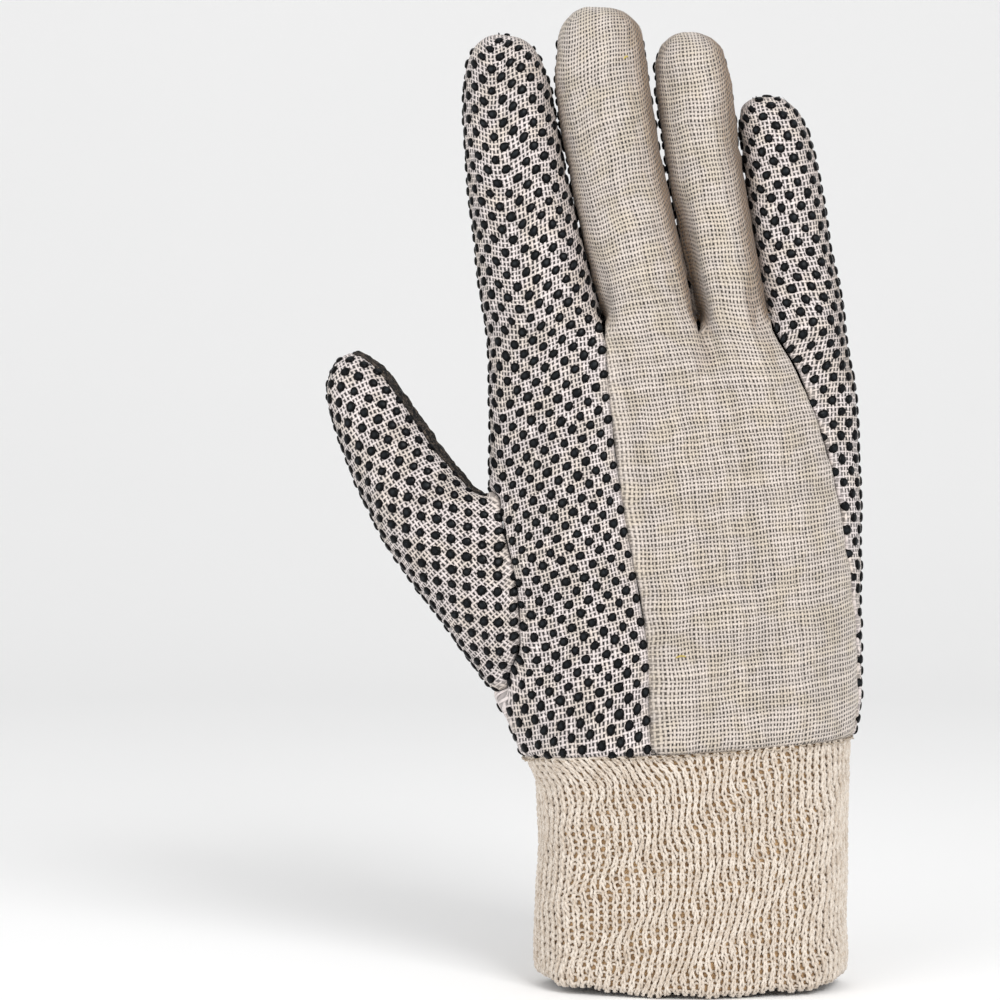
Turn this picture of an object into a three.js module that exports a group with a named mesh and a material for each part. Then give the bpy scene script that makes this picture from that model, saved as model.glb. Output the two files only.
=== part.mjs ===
// A cotton work glove for the right hand, in the form that it has when worn.
// Millimetres, +Z towards the fingertips, -Y is the back of the hand, -X is the thumb's side.
// The origin is the centre of the wrist opening, in the plane of the cuff's rim.
// The cloth is one surface of rows and columns. The seams run along its columns, and each
// piece of cloth is its share of that surface, thickened inwards and kept clear of the next.
import * as THREE from "three";
import { mergeVertices } from "three/addons/utils/BufferGeometryUtils.js";

// Driving dimensions
const cuffHeight = 60;
const cuffWidth = 79;
const cuffDepth = 46;
const cuffWall = 2.4;
const cuffShoulder = 1.6;
const clothWall = 1.2;
const seamGap = 0.35;
const seamRise = 5;
const handHeight = 106;
const forkDepth = 27;
const forkRise = 3.5;
const fingerGap = 0.9;
const fingerLean = -8;
const fingerCurl = 6;
const outerEdge = -52.4;
const creaseDepth = 2.2;
const rimRise = 2.5;
const thumbReach = 37.5;
const thumbHeight = 101;
const thumbForward = 9;
const thumbWidth = 25;
const thumbDepth = 23;

// The fingers from the thumb's side: the width at the fork, the width at the longest
// fingertip's height, the length above the fork, and the thickness.
const fingers = [
  { name: "index", root: 30.3, top: 21.3, length: 77, depth: 22 },
  { name: "middle", root: 24.2, top: 25.6, length: 84.8, depth: 22.5 },
  { name: "ring", root: 17.6, top: 21.6, length: 77.8, depth: 21 },
  { name: "little", root: 19.8, top: 18.8, length: 61, depth: 19.5 },
];

// The hand from the cuff up. up is a share of handHeight. left and right are shares of the
// hand's edges at the forks. deep is 0 at the wrist's depth and 1 at the forks', back and palm
// are shares of half of it. form is how far the row has taken the fingers' form. The index
// seam and the little seam drift from their forks, as shares of the way to the far edge.
// turn is the little edge's column, in degrees round to the palm. thumb is the half opening
// of the thumb's hole in degrees. crease is a share of creaseDepth, in the palm.
const handRows = [
  { up: 0.0, left: 0.84, right: 1.06, deep: 0.0, back: 1.0, palm: 1.0, form: 0, index: 0.095, little: 0.97, turn: 16, thumb: 16, crease: 0 },
  { up: 0.06, left: 0.89, right: 1.085, deep: 0.06, back: 1.0, palm: 1.02, form: 0, index: 0.116, little: 0.97, turn: 16, thumb: 16, crease: 0 },
  { up: 0.125, left: 0.965, right: 1.1, deep: 0.16, back: 1.0, palm: 1.06, form: 0, index: 0.145, little: 0.97, turn: 16, thumb: 18, crease: 0 },
  { up: 0.21, left: 1.0, right: 1.1, deep: 0.27, back: 1.0, palm: 1.1, form: 0, index: 0.155, little: 0.96, turn: 15, thumb: 36, crease: 0.1 },
  { up: 0.31, left: 1.01, right: 1.1, deep: 0.38, back: 1.0, palm: 1.13, form: 0, index: 0.139, little: 0.943, turn: 14, thumb: 38, crease: 0.3 },
  { up: 0.405, left: 1.01, right: 1.095, deep: 0.48, back: 1.02, palm: 1.12, form: 0, index: 0.114, little: 0.88, turn: 13, thumb: 33, crease: 0.5 },
  { up: 0.5, left: 1.0, right: 1.09, deep: 0.57, back: 1.04, palm: 1.08, form: 0, index: 0.08, little: 0.82, turn: 11, thumb: 25, crease: 0.6 },
  { up: 0.595, left: 0.99, right: 1.085, deep: 0.66, back: 1.06, palm: 1.04, form: 0, index: 0.054, little: 0.73, turn: 9, thumb: 16, crease: 0.7 },
  { up: 0.7, left: 0.985, right: 1.085, deep: 0.74, back: 1.08, palm: 1.02, form: 0, index: 0.022, little: 0.59, turn: 6, thumb: 20, crease: 0.75 },
  { up: 0.8, left: 0.985, right: 1.08, deep: 0.82, back: 1.08, palm: 1.02, form: 0.12, index: 0.004, little: 0.43, turn: 3, thumb: 20, crease: 0.8 },
  { up: 0.9, left: 0.99, right: 1.05, deep: 0.91, back: 1.05, palm: 1.02, form: 0.5, index: 0, little: 0.38, turn: 1, thumb: 20, crease: 0.85 },
  { up: 1.0, left: 1.0, right: 1.0, deep: 1.0, back: 1.0, palm: 1.0, form: 1, index: 0, little: 0, turn: 0, thumb: 20, crease: 0.4 },
];

// The knit cuff from its rim up. up is a share of its height, left, right and deep are
// shares of its half width, half width and half depth, and flute is how far its soft
// lengthwise folds stand out at that height.
const cuffRows = [
  { up: 0.0, left: 1.0, right: 0.99, deep: 1.0, flute: 1.0 },
  { up: 0.08, left: 1.005, right: 1.0, deep: 1.01, flute: 1.0 },
  { up: 0.22, left: 1.0, right: 0.99, deep: 1.0, flute: 0.9 },
  { up: 0.4, left: 0.99, right: 1.0, deep: 0.985, flute: 0.8 },
  { up: 0.58, left: 0.975, right: 1.0, deep: 0.975, flute: 0.8 },
  { up: 0.74, left: 0.985, right: 1.005, deep: 0.985, flute: 0.7 },
  { up: 0.88, left: 1.0, right: 1.01, deep: 1.0, flute: 0.4 },
];
const fluteDepth = 0.7;
const fluteCount = 7;

// The thumb from its hole to its tip: along is a share of its length on the curve, wide and
// deep are shares of its width and depth.
const thumbRows = [
  { along: 0.42, wide: 1.08, deep: 1.06 },
  { along: 0.53, wide: 1.0, deep: 1.0 },
  { along: 0.65, wide: 0.92, deep: 0.95 },
  { along: 0.76, wide: 0.85, deep: 0.89 },
  { along: 0.855, wide: 0.77, deep: 0.81 },
  { along: 0.925, wide: 0.62, deep: 0.65 },
  { along: 0.972, wide: 0.38, deep: 0.4 },
];
const thumbBend = { side: 0.54, rise: 0.28, forward: 0.35 };
const thumbSteps = 3;

// How a finger narrows towards its tip: along is a share of its length, full is a share of
// its width and depth there.
const fingerRows = [
  { along: 0.07, full: 1.0 },
  { along: 0.22, full: 1.0 },
  { along: 0.38, full: 0.98 },
  { along: 0.54, full: 0.99 },
  { along: 0.7, full: 1.0 },
  { along: 0.83, full: 0.99 },
  { along: 0.91, full: 0.89 },
  { along: 0.965, full: 0.66 },
  { along: 0.991, full: 0.36 },
];

// The columns of the cloth
const columns = 40;
const ringPoints = 16;
const ringStep = 360 / ringPoints;
const column = {
  outerSide: 0,
  backForks: [6, 10, 14],
  littleSide: 20,
  palmForks: [34, 30, 26],
};
const columnsPerFinger = 4;
const webShares = [0.25, 0.5, 0.75];
const thumbColumns = 3;
const thumbRowRange = { low: 2, high: 7 };
const handRoundness = 2.35;
const fingerRoundness = 2.15;
const cuffRoundness = 2.15;
const miterLimit = 0.42;

const radians = THREE.MathUtils.degToRad;
const lerp = THREE.MathUtils.lerp;

// The hand's edges and forks at a height above the forks, from the thumb's side.
const longest = Math.max(...fingers.map((finger) => finger.length));
function fingerEdges(height) {
  const share = height / longest;
  const edges = [outerEdge + fingerLean * share];
  for (const finger of fingers) {
    const width = lerp(finger.root, finger.top, share);
    edges.push(edges[edges.length - 1] + width);
  }
  return edges;
}
const forkEdges = fingerEdges(0);
const forkHeight = cuffHeight + handHeight;

// A point of a rounded oval: the angle is in degrees, 180 at the thumb's edge, 270 at the
// back of the hand, 0 at the little finger's edge and 90 at the palm.
function oval(centreX, centreY, halfX, halfY, angle, roundness) {
  const c = Math.cos(radians(angle));
  const s = Math.sin(radians(angle));
  const power = 2 / roundness;
  const x = centreX + halfX * Math.sign(c) * Math.abs(c) ** power;
  const y = centreY + halfY * Math.sign(s) * Math.abs(s) ** power;
  return { x, y };
}

// The angle at which that oval stands at x, on the back of the hand.
function angleAt(x, centreX, halfX, roundness) {
  const reach = Math.min(Math.abs(x - centreX) / halfX, 1) ** (roundness / 2);
  const turn = THREE.MathUtils.radToDeg(Math.acos(reach));
  return x < centreX ? 180 + turn : 360 - turn;
}

// The seam between the cuff and the hand rises towards the little finger's edge.
function seamHeight(x) {
  return cuffHeight + seamRise * (x / cuffWidth);
}

// The rim is a soft fold that rises a little towards both edges of the wrist.
function rimHeight(x) {
  return rimRise * Math.min(1, Math.abs(x) / (cuffWidth / 2)) ** 3;
}

// The whole cloth: points, and faces that each name their piece.
const points = [];
const faces = [];
function addPoint(x, y, z) {
  points.push(new THREE.Vector3(x, y, z));
  return points.length - 1;
}
function addFace(piece, ...corners) {
  faces.push({ piece, corners });
}

// The angle of each column of one row of the hand. Between the seams the columns are spread evenly.
function handAngles(row, centreX, halfX) {
  const left = centreX - halfX;
  const right = centreX + halfX;
  const span = forkEdges[4] - forkEdges[0];
  const at = (share) => lerp(left, right, share);
  const forkShare = [1, 2, 3].map((i) => (forkEdges[i] - forkEdges[0]) / span);
  const back = [
    at(lerp(forkShare[0], 1, row.index)),
    at(lerp(forkShare[1], 1, (row.index + row.little * forkShare[0]) / 2)),
    at(lerp(forkShare[2], 1, row.little)),
  ].map((x) => angleAt(x, centreX, halfX, handRoundness));
  const palm = forkShare.map((share) => 720 - angleAt(at(share), centreX, halfX, handRoundness));
  const keys = [
    [0, 180],
    [thumbColumns, 180 + row.thumb],
    [column.backForks[0], back[0]],
    [column.backForks[1], back[1]],
    [column.backForks[2], back[2]],
    [column.littleSide, 360 + row.turn],
    [column.palmForks[2], palm[2]],
    [column.palmForks[1], palm[1]],
    [column.palmForks[0], palm[0]],
    [columns - thumbColumns, 540 - row.thumb],
    [columns, 540],
  ];
  const angles = [];
  for (let k = 0; k + 1 < keys.length; k += 1) {
    const [from, start] = keys[k];
    const [to, end] = keys[k + 1];
    for (let j = from; j < to; j += 1) {
      angles.push(lerp(start, end, (j - from) / (to - from)));
    }
  }
  return angles;
}

// The columns of the hand that run into a finger, each with its place round the finger's ring.
const lastFinger = fingers.length - 1;
function fingerColumns(number) {
  const backFrom = number === 0 ? column.outerSide : column.backForks[number - 1];
  const backTo = number === lastFinger ? column.littleSide : column.backForks[number];
  const palmFrom = number === lastFinger ? column.littleSide + 1 : column.palmForks[number];
  const palmTo = number === 0 ? columns - 1 : column.palmForks[number - 1];
  const list = [];
  for (let j = backFrom; j <= backTo; j += 1) {
    list.push({ j, place: j - columnsPerFinger * number });
  }
  for (let j = palmFrom; j <= palmTo; j += 1) {
    list.push({ j, place: j - (columns - ringPoints) + columnsPerFinger * number });
  }
  return list;
}

// The section of a finger's root, at one place of its ring.
function rootSection(number, place) {
  const left = forkEdges[number];
  const right = forkEdges[number + 1];
  const angle = 180 + place * ringStep;
  return oval((left + right) / 2, 0, (right - left) / 2, forkDepth / 2, angle, fingerRoundness);
}

// The outline of the hand at the forks: the fingers' roots side by side.
const forkForm = Array.from({ length: columns }, () => ({ x: 0, y: 0, count: 0 }));
fingers.forEach((_, number) => {
  for (const { j, place } of fingerColumns(number)) {
    const p = rootSection(number, place);
    const sum = forkForm[j];
    sum.x += p.x;
    sum.y += p.y;
    sum.count += 1;
  }
});

// One row of the hand, as a loop of point numbers.
function handLoop(row) {
  const left = forkEdges[0] * row.left;
  const right = forkEdges[4] * row.right;
  const centreX = (left + right) / 2;
  const halfX = (right - left) / 2;
  const halfY = lerp(cuffDepth, forkDepth, row.deep) / 2;
  const level = cuffHeight + handHeight * row.up;
  const slope = Math.max(0, 1 - row.up / handRows[thumbRowRange.low].up);
  return handAngles(row, centreX, halfX).map((angle, j) => {
    const side = angle < 360 ? row.back : row.palm;
    const own = oval(centreX, 0, halfX, halfY * side, angle, handRoundness);
    const fork = forkForm[j];
    const sunk = j === column.palmForks[1] ? row.crease * creaseDepth : 0;
    const x = lerp(own.x, fork.x / fork.count, row.form ** 2);
    const y = lerp(own.y, fork.y / fork.count, row.form) - sunk;
    const z = level + slope * (seamHeight(x) - cuffHeight);
    return addPoint(x, y, z);
  });
}

const hand = handRows.map(handLoop);

// The thumb's hole leaves out a block of the hand's faces.
function inThumbHole(rowNumber, j) {
  const inRows = rowNumber >= thumbRowRange.low && rowNumber < thumbRowRange.high;
  return inRows && (j < thumbColumns || j >= columns - thumbColumns);
}

function addHandFaces() {
  for (let i = 0; i + 1 < hand.length; i += 1) {
    for (let j = 0; j < columns; j += 1) {
      if (inThumbHole(i, j)) continue;
      const onBack = j >= column.backForks[0] && j < column.backForks[2];
      const next = (j + 1) % columns;
      addFace(onBack ? "back_panel" : "palm_piece", hand[i][j], hand[i][next], hand[i + 1][next], hand[i + 1][j]);
    }
  }
}

// The web of cloth between two fingers: three points from the back fork to the palm fork.
const topRow = hand[hand.length - 1];
function addWeb(forkNumber) {
  const back = points[topRow[column.backForks[forkNumber]]];
  const palm = points[topRow[column.palmForks[forkNumber]]];
  return webShares.map((share) => {
    const rise = forkRise * Math.sin(Math.PI * share);
    return addPoint(lerp(back.x, palm.x, share), lerp(back.y, palm.y, share), forkHeight + rise);
  });
}
const webs = [0, 1, 2].map(addWeb);

// The loop at a finger's root, from its thumb side round the back of the hand.
function rootLoop(number) {
  const loop = new Array(ringPoints);
  for (const { j, place } of fingerColumns(number)) loop[place] = topRow[j];
  if (number > 0) {
    const [nearBack, middle, nearPalm] = webs[number - 1];
    loop[1] = nearBack;
    loop[0] = middle;
    loop[ringPoints - 1] = nearPalm;
  }
  if (number < lastFinger) {
    webs[number].forEach((n, i) => {
      loop[ringPoints / 2 - 1 + i] = n;
    });
  }
  return loop;
}

function pieceOfFinger(number, segment) {
  const plain = number === 1 || number === 2;
  return plain && segment < ringPoints / 2 ? "back_panel" : "palm_piece";
}

function addFinger(number) {
  const finger = fingers[number];
  let below = rootLoop(number);
  const place = (along) => {
    const height = finger.length * along;
    const edges = fingerEdges(height);
    const curl = fingerCurl * along ** 2;
    return { left: edges[number], right: edges[number + 1], y: curl, z: forkHeight + height };
  };
  const join = (ring) => {
    for (let m = 0; m < ringPoints; m += 1) {
      const next = (m + 1) % ringPoints;
      addFace(pieceOfFinger(number, m), below[m], below[next], ring[next], ring[m]);
    }
    below = ring;
  };
  for (const row of fingerRows) {
    const at = place(row.along);
    const halfX = ((at.right - at.left - fingerGap) / 2) * row.full;
    const halfY = (lerp(forkDepth, finger.depth, Math.min(1, row.along * 4)) / 2) * row.full;
    const ring = [];
    for (let m = 0; m < ringPoints; m += 1) {
      const p = oval((at.left + at.right) / 2, at.y, halfX, halfY, 180 + m * ringStep, fingerRoundness);
      ring.push(addPoint(p.x, p.y, at.z));
    }
    join(ring);
  }
  const tip = place(1);
  const pole = addPoint((tip.left + tip.right) / 2, tip.y, tip.z);
  for (let m = 0; m < ringPoints; m += 1) {
    addFace(pieceOfFinger(number, m), below[m], below[(m + 1) % ringPoints], pole);
  }
}

// The loop round the thumb's hole: over its top from the back to the palm, down the palm,
// under it to the back, and up the back.
function thumbHoleLoop() {
  const { low, high } = thumbRowRange;
  const across = [];
  for (let j = thumbColumns; j > -thumbColumns; j -= 1) across.push((j + columns) % columns);
  const palmColumn = columns - thumbColumns;
  const loop = across.map((j) => hand[high][j]);
  for (let i = high; i > low; i -= 1) loop.push(hand[i][palmColumn]);
  across.reverse();
  loop.push(hand[low][palmColumn]);
  for (const j of across.slice(0, -1)) loop.push(hand[low][j]);
  for (let i = low; i < high; i += 1) loop.push(hand[i][thumbColumns]);
  return loop;
}

function addThumb() {
  const hole = thumbHoleLoop();
  const count = hole.length;
  const centre = new THREE.Vector3();
  for (const n of hole) centre.addScaledVector(points[n], 1 / count);
  const tip = new THREE.Vector3(outerEdge - thumbReach, thumbForward, cuffHeight + thumbHeight);
  const bend = new THREE.Vector3(
    lerp(centre.x, tip.x, thumbBend.side),
    lerp(centre.y, tip.y, thumbBend.forward),
    lerp(centre.z, tip.z, thumbBend.rise),
  );
  const path = new THREE.QuadraticBezierCurve3(centre, bend, tip);
  const depthWay = new THREE.Vector3(0, 1, 0);
  const quarter = thumbColumns;
  const ringAt = (row) => {
    const middle = path.getPoint(row.along);
    const along = path.getTangent(row.along);
    const across = new THREE.Vector3().crossVectors(depthWay, along).normalize();
    const deep = new THREE.Vector3().crossVectors(along, across).normalize();
    return hole.map((_, i) => {
      const angle = 90 - ((i - quarter) * 360) / count;
      const p = oval(0, 0, (thumbDepth / 2) * row.deep, (thumbWidth / 2) * row.wide, angle, fingerRoundness);
      return middle.clone().addScaledVector(deep, p.x).addScaledVector(across, p.y);
    });
  };
  let below = hole;
  const join = (ring) => {
    for (let i = 0; i < count; i += 1) {
      const next = (i + 1) % count;
      addFace("thumb", below[i], below[next], ring[next], ring[i]);
    }
    below = ring;
  };
  const first = ringAt(thumbRows[0]);
  for (let step = 1; step < thumbSteps; step += 1) {
    const ring = hole.map((n, i) => {
      const p = points[n].clone().lerp(first[i], step / thumbSteps);
      return addPoint(p.x, p.y, p.z);
    });
    join(ring);
  }
  for (const row of thumbRows) {
    join(ringAt(row).map((p) => addPoint(p.x, p.y, p.z)));
  }
  const pole = addPoint(tip.x, tip.y, tip.z);
  for (let i = 0; i < count; i += 1) addFace("thumb", below[i], below[(i + 1) % count], pole);
}

// The knit cuff is a folded double tube that stands a little inside the hand's lower edge.
function addCuff() {
  const first = handRows[0];
  const left = forkEdges[0] * first.left;
  const right = forkEdges[4] * first.right;
  const angles = handAngles(first, (left + right) / 2, (right - left) / 2);
  const loops = cuffRows.map((row) => {
    const edges = { left: (-cuffWidth / 2) * row.left, right: (cuffWidth / 2) * row.right };
    return angles.map((angle) => {
      const flute = fluteDepth * row.flute * Math.sin(radians(angle * fluteCount));
      const halfX = (edges.right - edges.left) / 2 + flute;
      const halfY = (cuffDepth / 2) * row.deep - cuffShoulder + flute;
      const p = oval((edges.left + edges.right) / 2, 0, halfX, halfY, angle, cuffRoundness);
      return addPoint(p.x, p.y, lerp(rimHeight(p.x), seamHeight(p.x), row.up));
    });
  });
  const top = hand[0].map((n) => {
    const p = points[n];
    const flat = Math.hypot(p.x, p.y);
    const shrink = (flat - cuffShoulder) / flat;
    return addPoint(p.x * shrink, p.y * shrink, p.z);
  });
  loops.push(top);
  for (let i = 0; i + 1 < loops.length; i += 1) {
    for (let j = 0; j < columns; j += 1) {
      const next = (j + 1) % columns;
      addFace("knit_cuff", loops[i][j], loops[i][next], loops[i + 1][next], loops[i + 1][j]);
    }
  }
}

addHandFaces();
fingers.forEach((_, number) => addFinger(number));
addThumb();
addCuff();

// The normal of a face, from its diagonals, so that a bent quad has one too.
function faceNormal(corners) {
  const [a, b, c, d] = corners.map((n) => points[n]);
  const first = c.clone().sub(a);
  const second = d ? d.clone().sub(b) : c.clone().sub(b);
  return first.cross(second);
}

// Each point's outward direction, and how far its inner copy lies for a wall of 1 mm.
function pointNormals(list) {
  const sums = new Map();
  for (const face of list) {
    const normal = faceNormal(face.corners);
    for (const n of face.corners) {
      if (!sums.has(n)) sums.set(n, { sum: new THREE.Vector3(), sides: [] });
      sums.get(n).sum.add(normal);
      sums.get(n).sides.push(normal.clone().normalize());
    }
  }
  const out = new Map();
  for (const [n, { sum, sides }] of sums) {
    const normal = sum.normalize();
    const least = Math.min(...sides.map((side) => side.dot(normal)));
    out.set(n, { normal, stretch: 1 / Math.max(least, miterLimit) });
  }
  return out;
}

// One piece of cloth as a closed solid: its faces, their copies a wall further in, and the
// edge between them. Along its edges it draws back by half the seam's gap.
function pieceGeometry(piece, wall, normals) {
  const own = faces.filter((face) => face.piece === piece);
  const used = new Set();
  for (const face of own) {
    face.corners.forEach((n, i) => used.add(`${n},${face.corners[(i + 1) % face.corners.length]}`));
  }
  const edges = [...used].map((key) => key.split(",").map(Number)).filter(([a, b]) => !used.has(`${b},${a}`));
  const inset = new Map();
  for (const [a, b] of edges) {
    const along = points[b].clone().sub(points[a]).normalize();
    for (const n of [a, b]) {
      const inward = normals.get(n).normal.clone().cross(along).normalize();
      if (!inset.has(n)) inset.set(n, []);
      inset.get(n).push(inward);
    }
  }
  const outer = new Map();
  const inner = new Map();
  for (const n of new Set(own.flatMap((face) => face.corners))) {
    const place = points[n].clone();
    const ways = inset.get(n);
    if (ways) {
      const way = ways.reduce((sum, w) => sum.add(w), new THREE.Vector3()).normalize();
      const least = Math.max(way.dot(ways[0]), miterLimit);
      place.addScaledVector(way, seamGap / 2 / least);
    }
    const { normal, stretch } = normals.get(n);
    outer.set(n, place);
    inner.set(n, place.clone().addScaledVector(normal, -wall * stretch));
  }
  const triangles = [];
  const push = (map, corners) => {
    const list = corners.map((n) => map.get(n));
    for (let i = 2; i < list.length; i += 1) triangles.push(list[0], list[i - 1], list[i]);
  };
  for (const face of own) {
    push(outer, face.corners);
    push(inner, [...face.corners].reverse());
  }
  for (const [a, b] of edges) {
    triangles.push(outer.get(b), outer.get(a), inner.get(a));
    triangles.push(outer.get(b), inner.get(a), inner.get(b));
  }
  const geometry = new THREE.BufferGeometry().setFromPoints(triangles);
  const merged = mergeVertices(geometry, 1e-4);
  merged.computeVertexNormals();
  return merged;
}

// Materials
const dottedCotton = new THREE.MeshStandardMaterial({ color: 0x8f8a84, roughness: 0.9, metalness: 0 });
const plainCotton = new THREE.MeshStandardMaterial({ color: 0xcdc4b6, roughness: 0.95, metalness: 0 });
const knitCotton = new THREE.MeshStandardMaterial({ color: 0xd9ccb8, roughness: 0.95, metalness: 0 });

const glove = new THREE.Group();
function addPiece(name, wall, material, normals) {
  const mesh = new THREE.Mesh(pieceGeometry(name, wall, normals), material);
  mesh.name = name;
  glove.add(mesh);
}

const sewnNormals = pointNormals(faces.filter((face) => face.piece !== "knit_cuff"));
const cuffNormals = pointNormals(faces.filter((face) => face.piece === "knit_cuff"));
addPiece("palm_piece", clothWall, dottedCotton, sewnNormals);
addPiece("back_panel", clothWall, plainCotton, sewnNormals);
addPiece("thumb", clothWall, dottedCotton, sewnNormals);
addPiece("knit_cuff", cuffWall, knitCotton, cuffNormals);

export default glove;
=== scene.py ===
"""A cotton work glove for the right hand: dotted palm cloth, plain back panel and knit cuff."""

import math

import bmesh
import bpy
import numpy as np
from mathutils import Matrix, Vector, noise
from mathutils.bvhtree import BVHTree
from mathutils.kdtree import KDTree


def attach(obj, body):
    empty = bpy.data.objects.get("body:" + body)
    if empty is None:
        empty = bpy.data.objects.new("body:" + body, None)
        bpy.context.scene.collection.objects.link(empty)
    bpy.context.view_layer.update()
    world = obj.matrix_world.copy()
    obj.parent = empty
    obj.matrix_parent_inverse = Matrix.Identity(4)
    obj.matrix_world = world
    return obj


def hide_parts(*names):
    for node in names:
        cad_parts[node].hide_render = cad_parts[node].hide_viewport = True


MM = 0.001


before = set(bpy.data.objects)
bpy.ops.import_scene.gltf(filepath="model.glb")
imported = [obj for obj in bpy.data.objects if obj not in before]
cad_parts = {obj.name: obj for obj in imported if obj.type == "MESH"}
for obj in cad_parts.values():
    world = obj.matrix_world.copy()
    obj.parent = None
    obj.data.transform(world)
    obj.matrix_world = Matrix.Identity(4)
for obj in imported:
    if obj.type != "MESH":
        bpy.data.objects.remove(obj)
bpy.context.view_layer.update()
scene = bpy.context.scene


# The glove's measures in millimetres, the same as in the part's source
CUFF_HEIGHT = 60
CUFF_WIDTH = 79
CUFF_DEPTH = 46
CUFF_SHOULDER = 1.6
SEAM_RISE = 5
HAND_HEIGHT = 106
FORK_DEPTH = 27
FORK_RISE = 3.5
FINGER_GAP = 0.9
FINGER_OVERLAP = -0.9
FINGER_LEAN = -8
FINGER_CURL = 6
OUTER_EDGE = -52.4
CREASE_DEPTH = 2.2
RIM_RISE = 2.5
THUMB_REACH = 37.5
THUMB_HEIGHT = 101
THUMB_FORWARD = 9
THUMB_WIDTH = 25
THUMB_DEPTH = 23
# Each finger from the index on: its width at the root and at the longest finger's end, its length
# and its depth
FINGERS = [
    (30.3, 21.3, 77, 22),
    (24.2, 25.6, 84.8, 22.5),
    (17.6, 21.6, 77.8, 21),
    (19.8, 18.8, 61, 19.5),
]
# The hand's rows from the cuff's seam up, as shares and angles: height, left and right edge, depth,
# the two sides' fullness, the forks' form, the back panel's edges, the turn of the little finger's
# side and of the thumb's, and the crease of the palm
HAND_KEYS = (
    "up", "left", "right", "deep", "back", "palm", "form", "index", "little", "turn", "thumb", "crease"
)
HAND_ROWS = [
    dict(zip(HAND_KEYS, row))
    for row in (
        (0, 0.84, 1.06, 0, 1, 1, 0, 0.095, 0.97, 16, 16, 0),
        (0.06, 0.89, 1.085, 0.06, 1, 1.02, 0, 0.116, 0.97, 16, 16, 0),
        (0.125, 0.965, 1.1, 0.16, 1, 1.06, 0, 0.145, 0.97, 16, 18, 0),
        (0.21, 1, 1.1, 0.27, 1, 1.1, 0, 0.155, 0.96, 15, 36, 0.1),
        (0.31, 1.01, 1.1, 0.38, 1, 1.13, 0, 0.139, 0.943, 14, 38, 0.3),
        (0.405, 1.01, 1.095, 0.48, 1.02, 1.12, 0, 0.114, 0.88, 13, 33, 0.5),
        (0.5, 1, 1.09, 0.57, 1.04, 1.08, 0, 0.08, 0.82, 11, 25, 0.6),
        (0.595, 0.99, 1.085, 0.66, 1.06, 1.04, 0, 0.054, 0.73, 9, 16, 0.7),
        (0.7, 0.985, 1.085, 0.74, 1.08, 1.02, 0, 0.022, 0.59, 6, 20, 0.75),
        (0.8, 0.985, 1.08, 0.82, 1.08, 1.02, 0.12, 0.004, 0.43, 3, 20, 0.8),
        (0.9, 0.99, 1.05, 0.91, 1.05, 1.02, 0.5, 0, 0.38, 1, 20, 0.85),
        (1, 1, 1, 1, 1, 1, 1, 0, 0, 0, 20, 0.4),
    )
]
# The cuff's rows from its rim up: height, left and right edge, depth and the flutes' share
CUFF_ROWS = [
    (0.0, 1.0, 0.99, 1.0, 1.0),
    (0.08, 1.005, 1.0, 1.01, 1.0),
    (0.22, 1.0, 0.99, 1.0, 0.9),
    (0.4, 0.99, 1.0, 0.985, 0.8),
    (0.58, 0.975, 1.0, 0.975, 0.8),
    (0.74, 0.985, 1.005, 0.985, 0.7),
    (0.88, 1.0, 1.01, 1.0, 0.4),
]
FLUTE_DEPTH = 0.7
FLUTE_COUNT = 7
# The thumb's rows: the share of its length, its width and its depth
THUMB_ROWS = [
    (0.42, 1.08, 1.06),
    (0.53, 1.0, 1.0),
    (0.65, 0.92, 0.95),
    (0.76, 0.85, 0.89),
    (0.855, 0.77, 0.81),
    (0.925, 0.62, 0.65),
    (0.972, 0.38, 0.4),
]
THUMB_BEND = (0.54, 0.35, 0.28)
THUMB_STEPS = 3
# The fingers' rows: the share of the length and the fullness
FINGER_ROWS = [
    (0.07, 1.0),
    (0.22, 1.0),
    (0.38, 0.98),
    (0.54, 0.99),
    (0.7, 1.0),
    (0.83, 0.99),
    (0.91, 0.92),
    (0.965, 0.74),
    (0.991, 0.43),
]
# How far each worn finger strays from its straight middle, half way up and at its tip
FINGER_STRAY = [(-1.6, 0.2), (-1.4, 2.8), (-0.5, 0.9), (-0.5, -1.1)]
COLUMNS = 40
RING_POINTS = 16
HALF_RING = RING_POINTS // 2
BACK_FORKS = (6, 10, 14)
LITTLE_SIDE = 20
PALM_FORKS = (34, 30, 26)
MIDDLE_FORK_PALM = PALM_FORKS[1]
DOME_RINGS = 3
COLUMNS_PER_FINGER = 4
THUMB_COLUMNS = 3
THUMB_ROOT = (-45.0, 40.0)
# How the weft rises across the strip behind the thumb, the back and the backs of the fingers. A
# second value adds to it with the distance from the middle.
STRIP_SKEW = 0.19
BACK_SKEW = (0.09, 0.002)
BACK_FINGER_SKEW = (0.24, 0.004)
# The rows of the hand between which the thumb's hole lies
HOLE_LOW, HOLE_HIGH = 2, 7
HAND_ROUNDNESS = 2.35
FINGER_ROUNDNESS = 2.15
FORK_HEIGHT = CUFF_HEIGHT + HAND_HEIGHT
LONGEST = max(finger[2] for finger in FINGERS)
PALM, BACK, THUMB = 0, 1, 2
PIECE_COUNT = 3


def lerp(a, b, t):
    return a + (b - a) * t


def smoothstep(low, high, value):
    t = min(1.0, max(0.0, (value - low) / (high - low)))
    return t * t * (3 - 2 * t)


def finger_edges(height):
    """The fingers' edges at a height above the forks, from the thumb's side."""
    share = height / LONGEST
    edges = [OUTER_EDGE + FINGER_LEAN * share]
    for root, top, _, _ in FINGERS:
        edges.append(edges[-1] + lerp(root, top, share))
    return edges


def stray(number, along):
    """How far a finger strays sideways at a share of its length."""
    middle, tip = FINGER_STRAY[number]
    return middle * math.sin(math.pi * along) + tip * smoothstep(0.72, 1.0, along)


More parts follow.
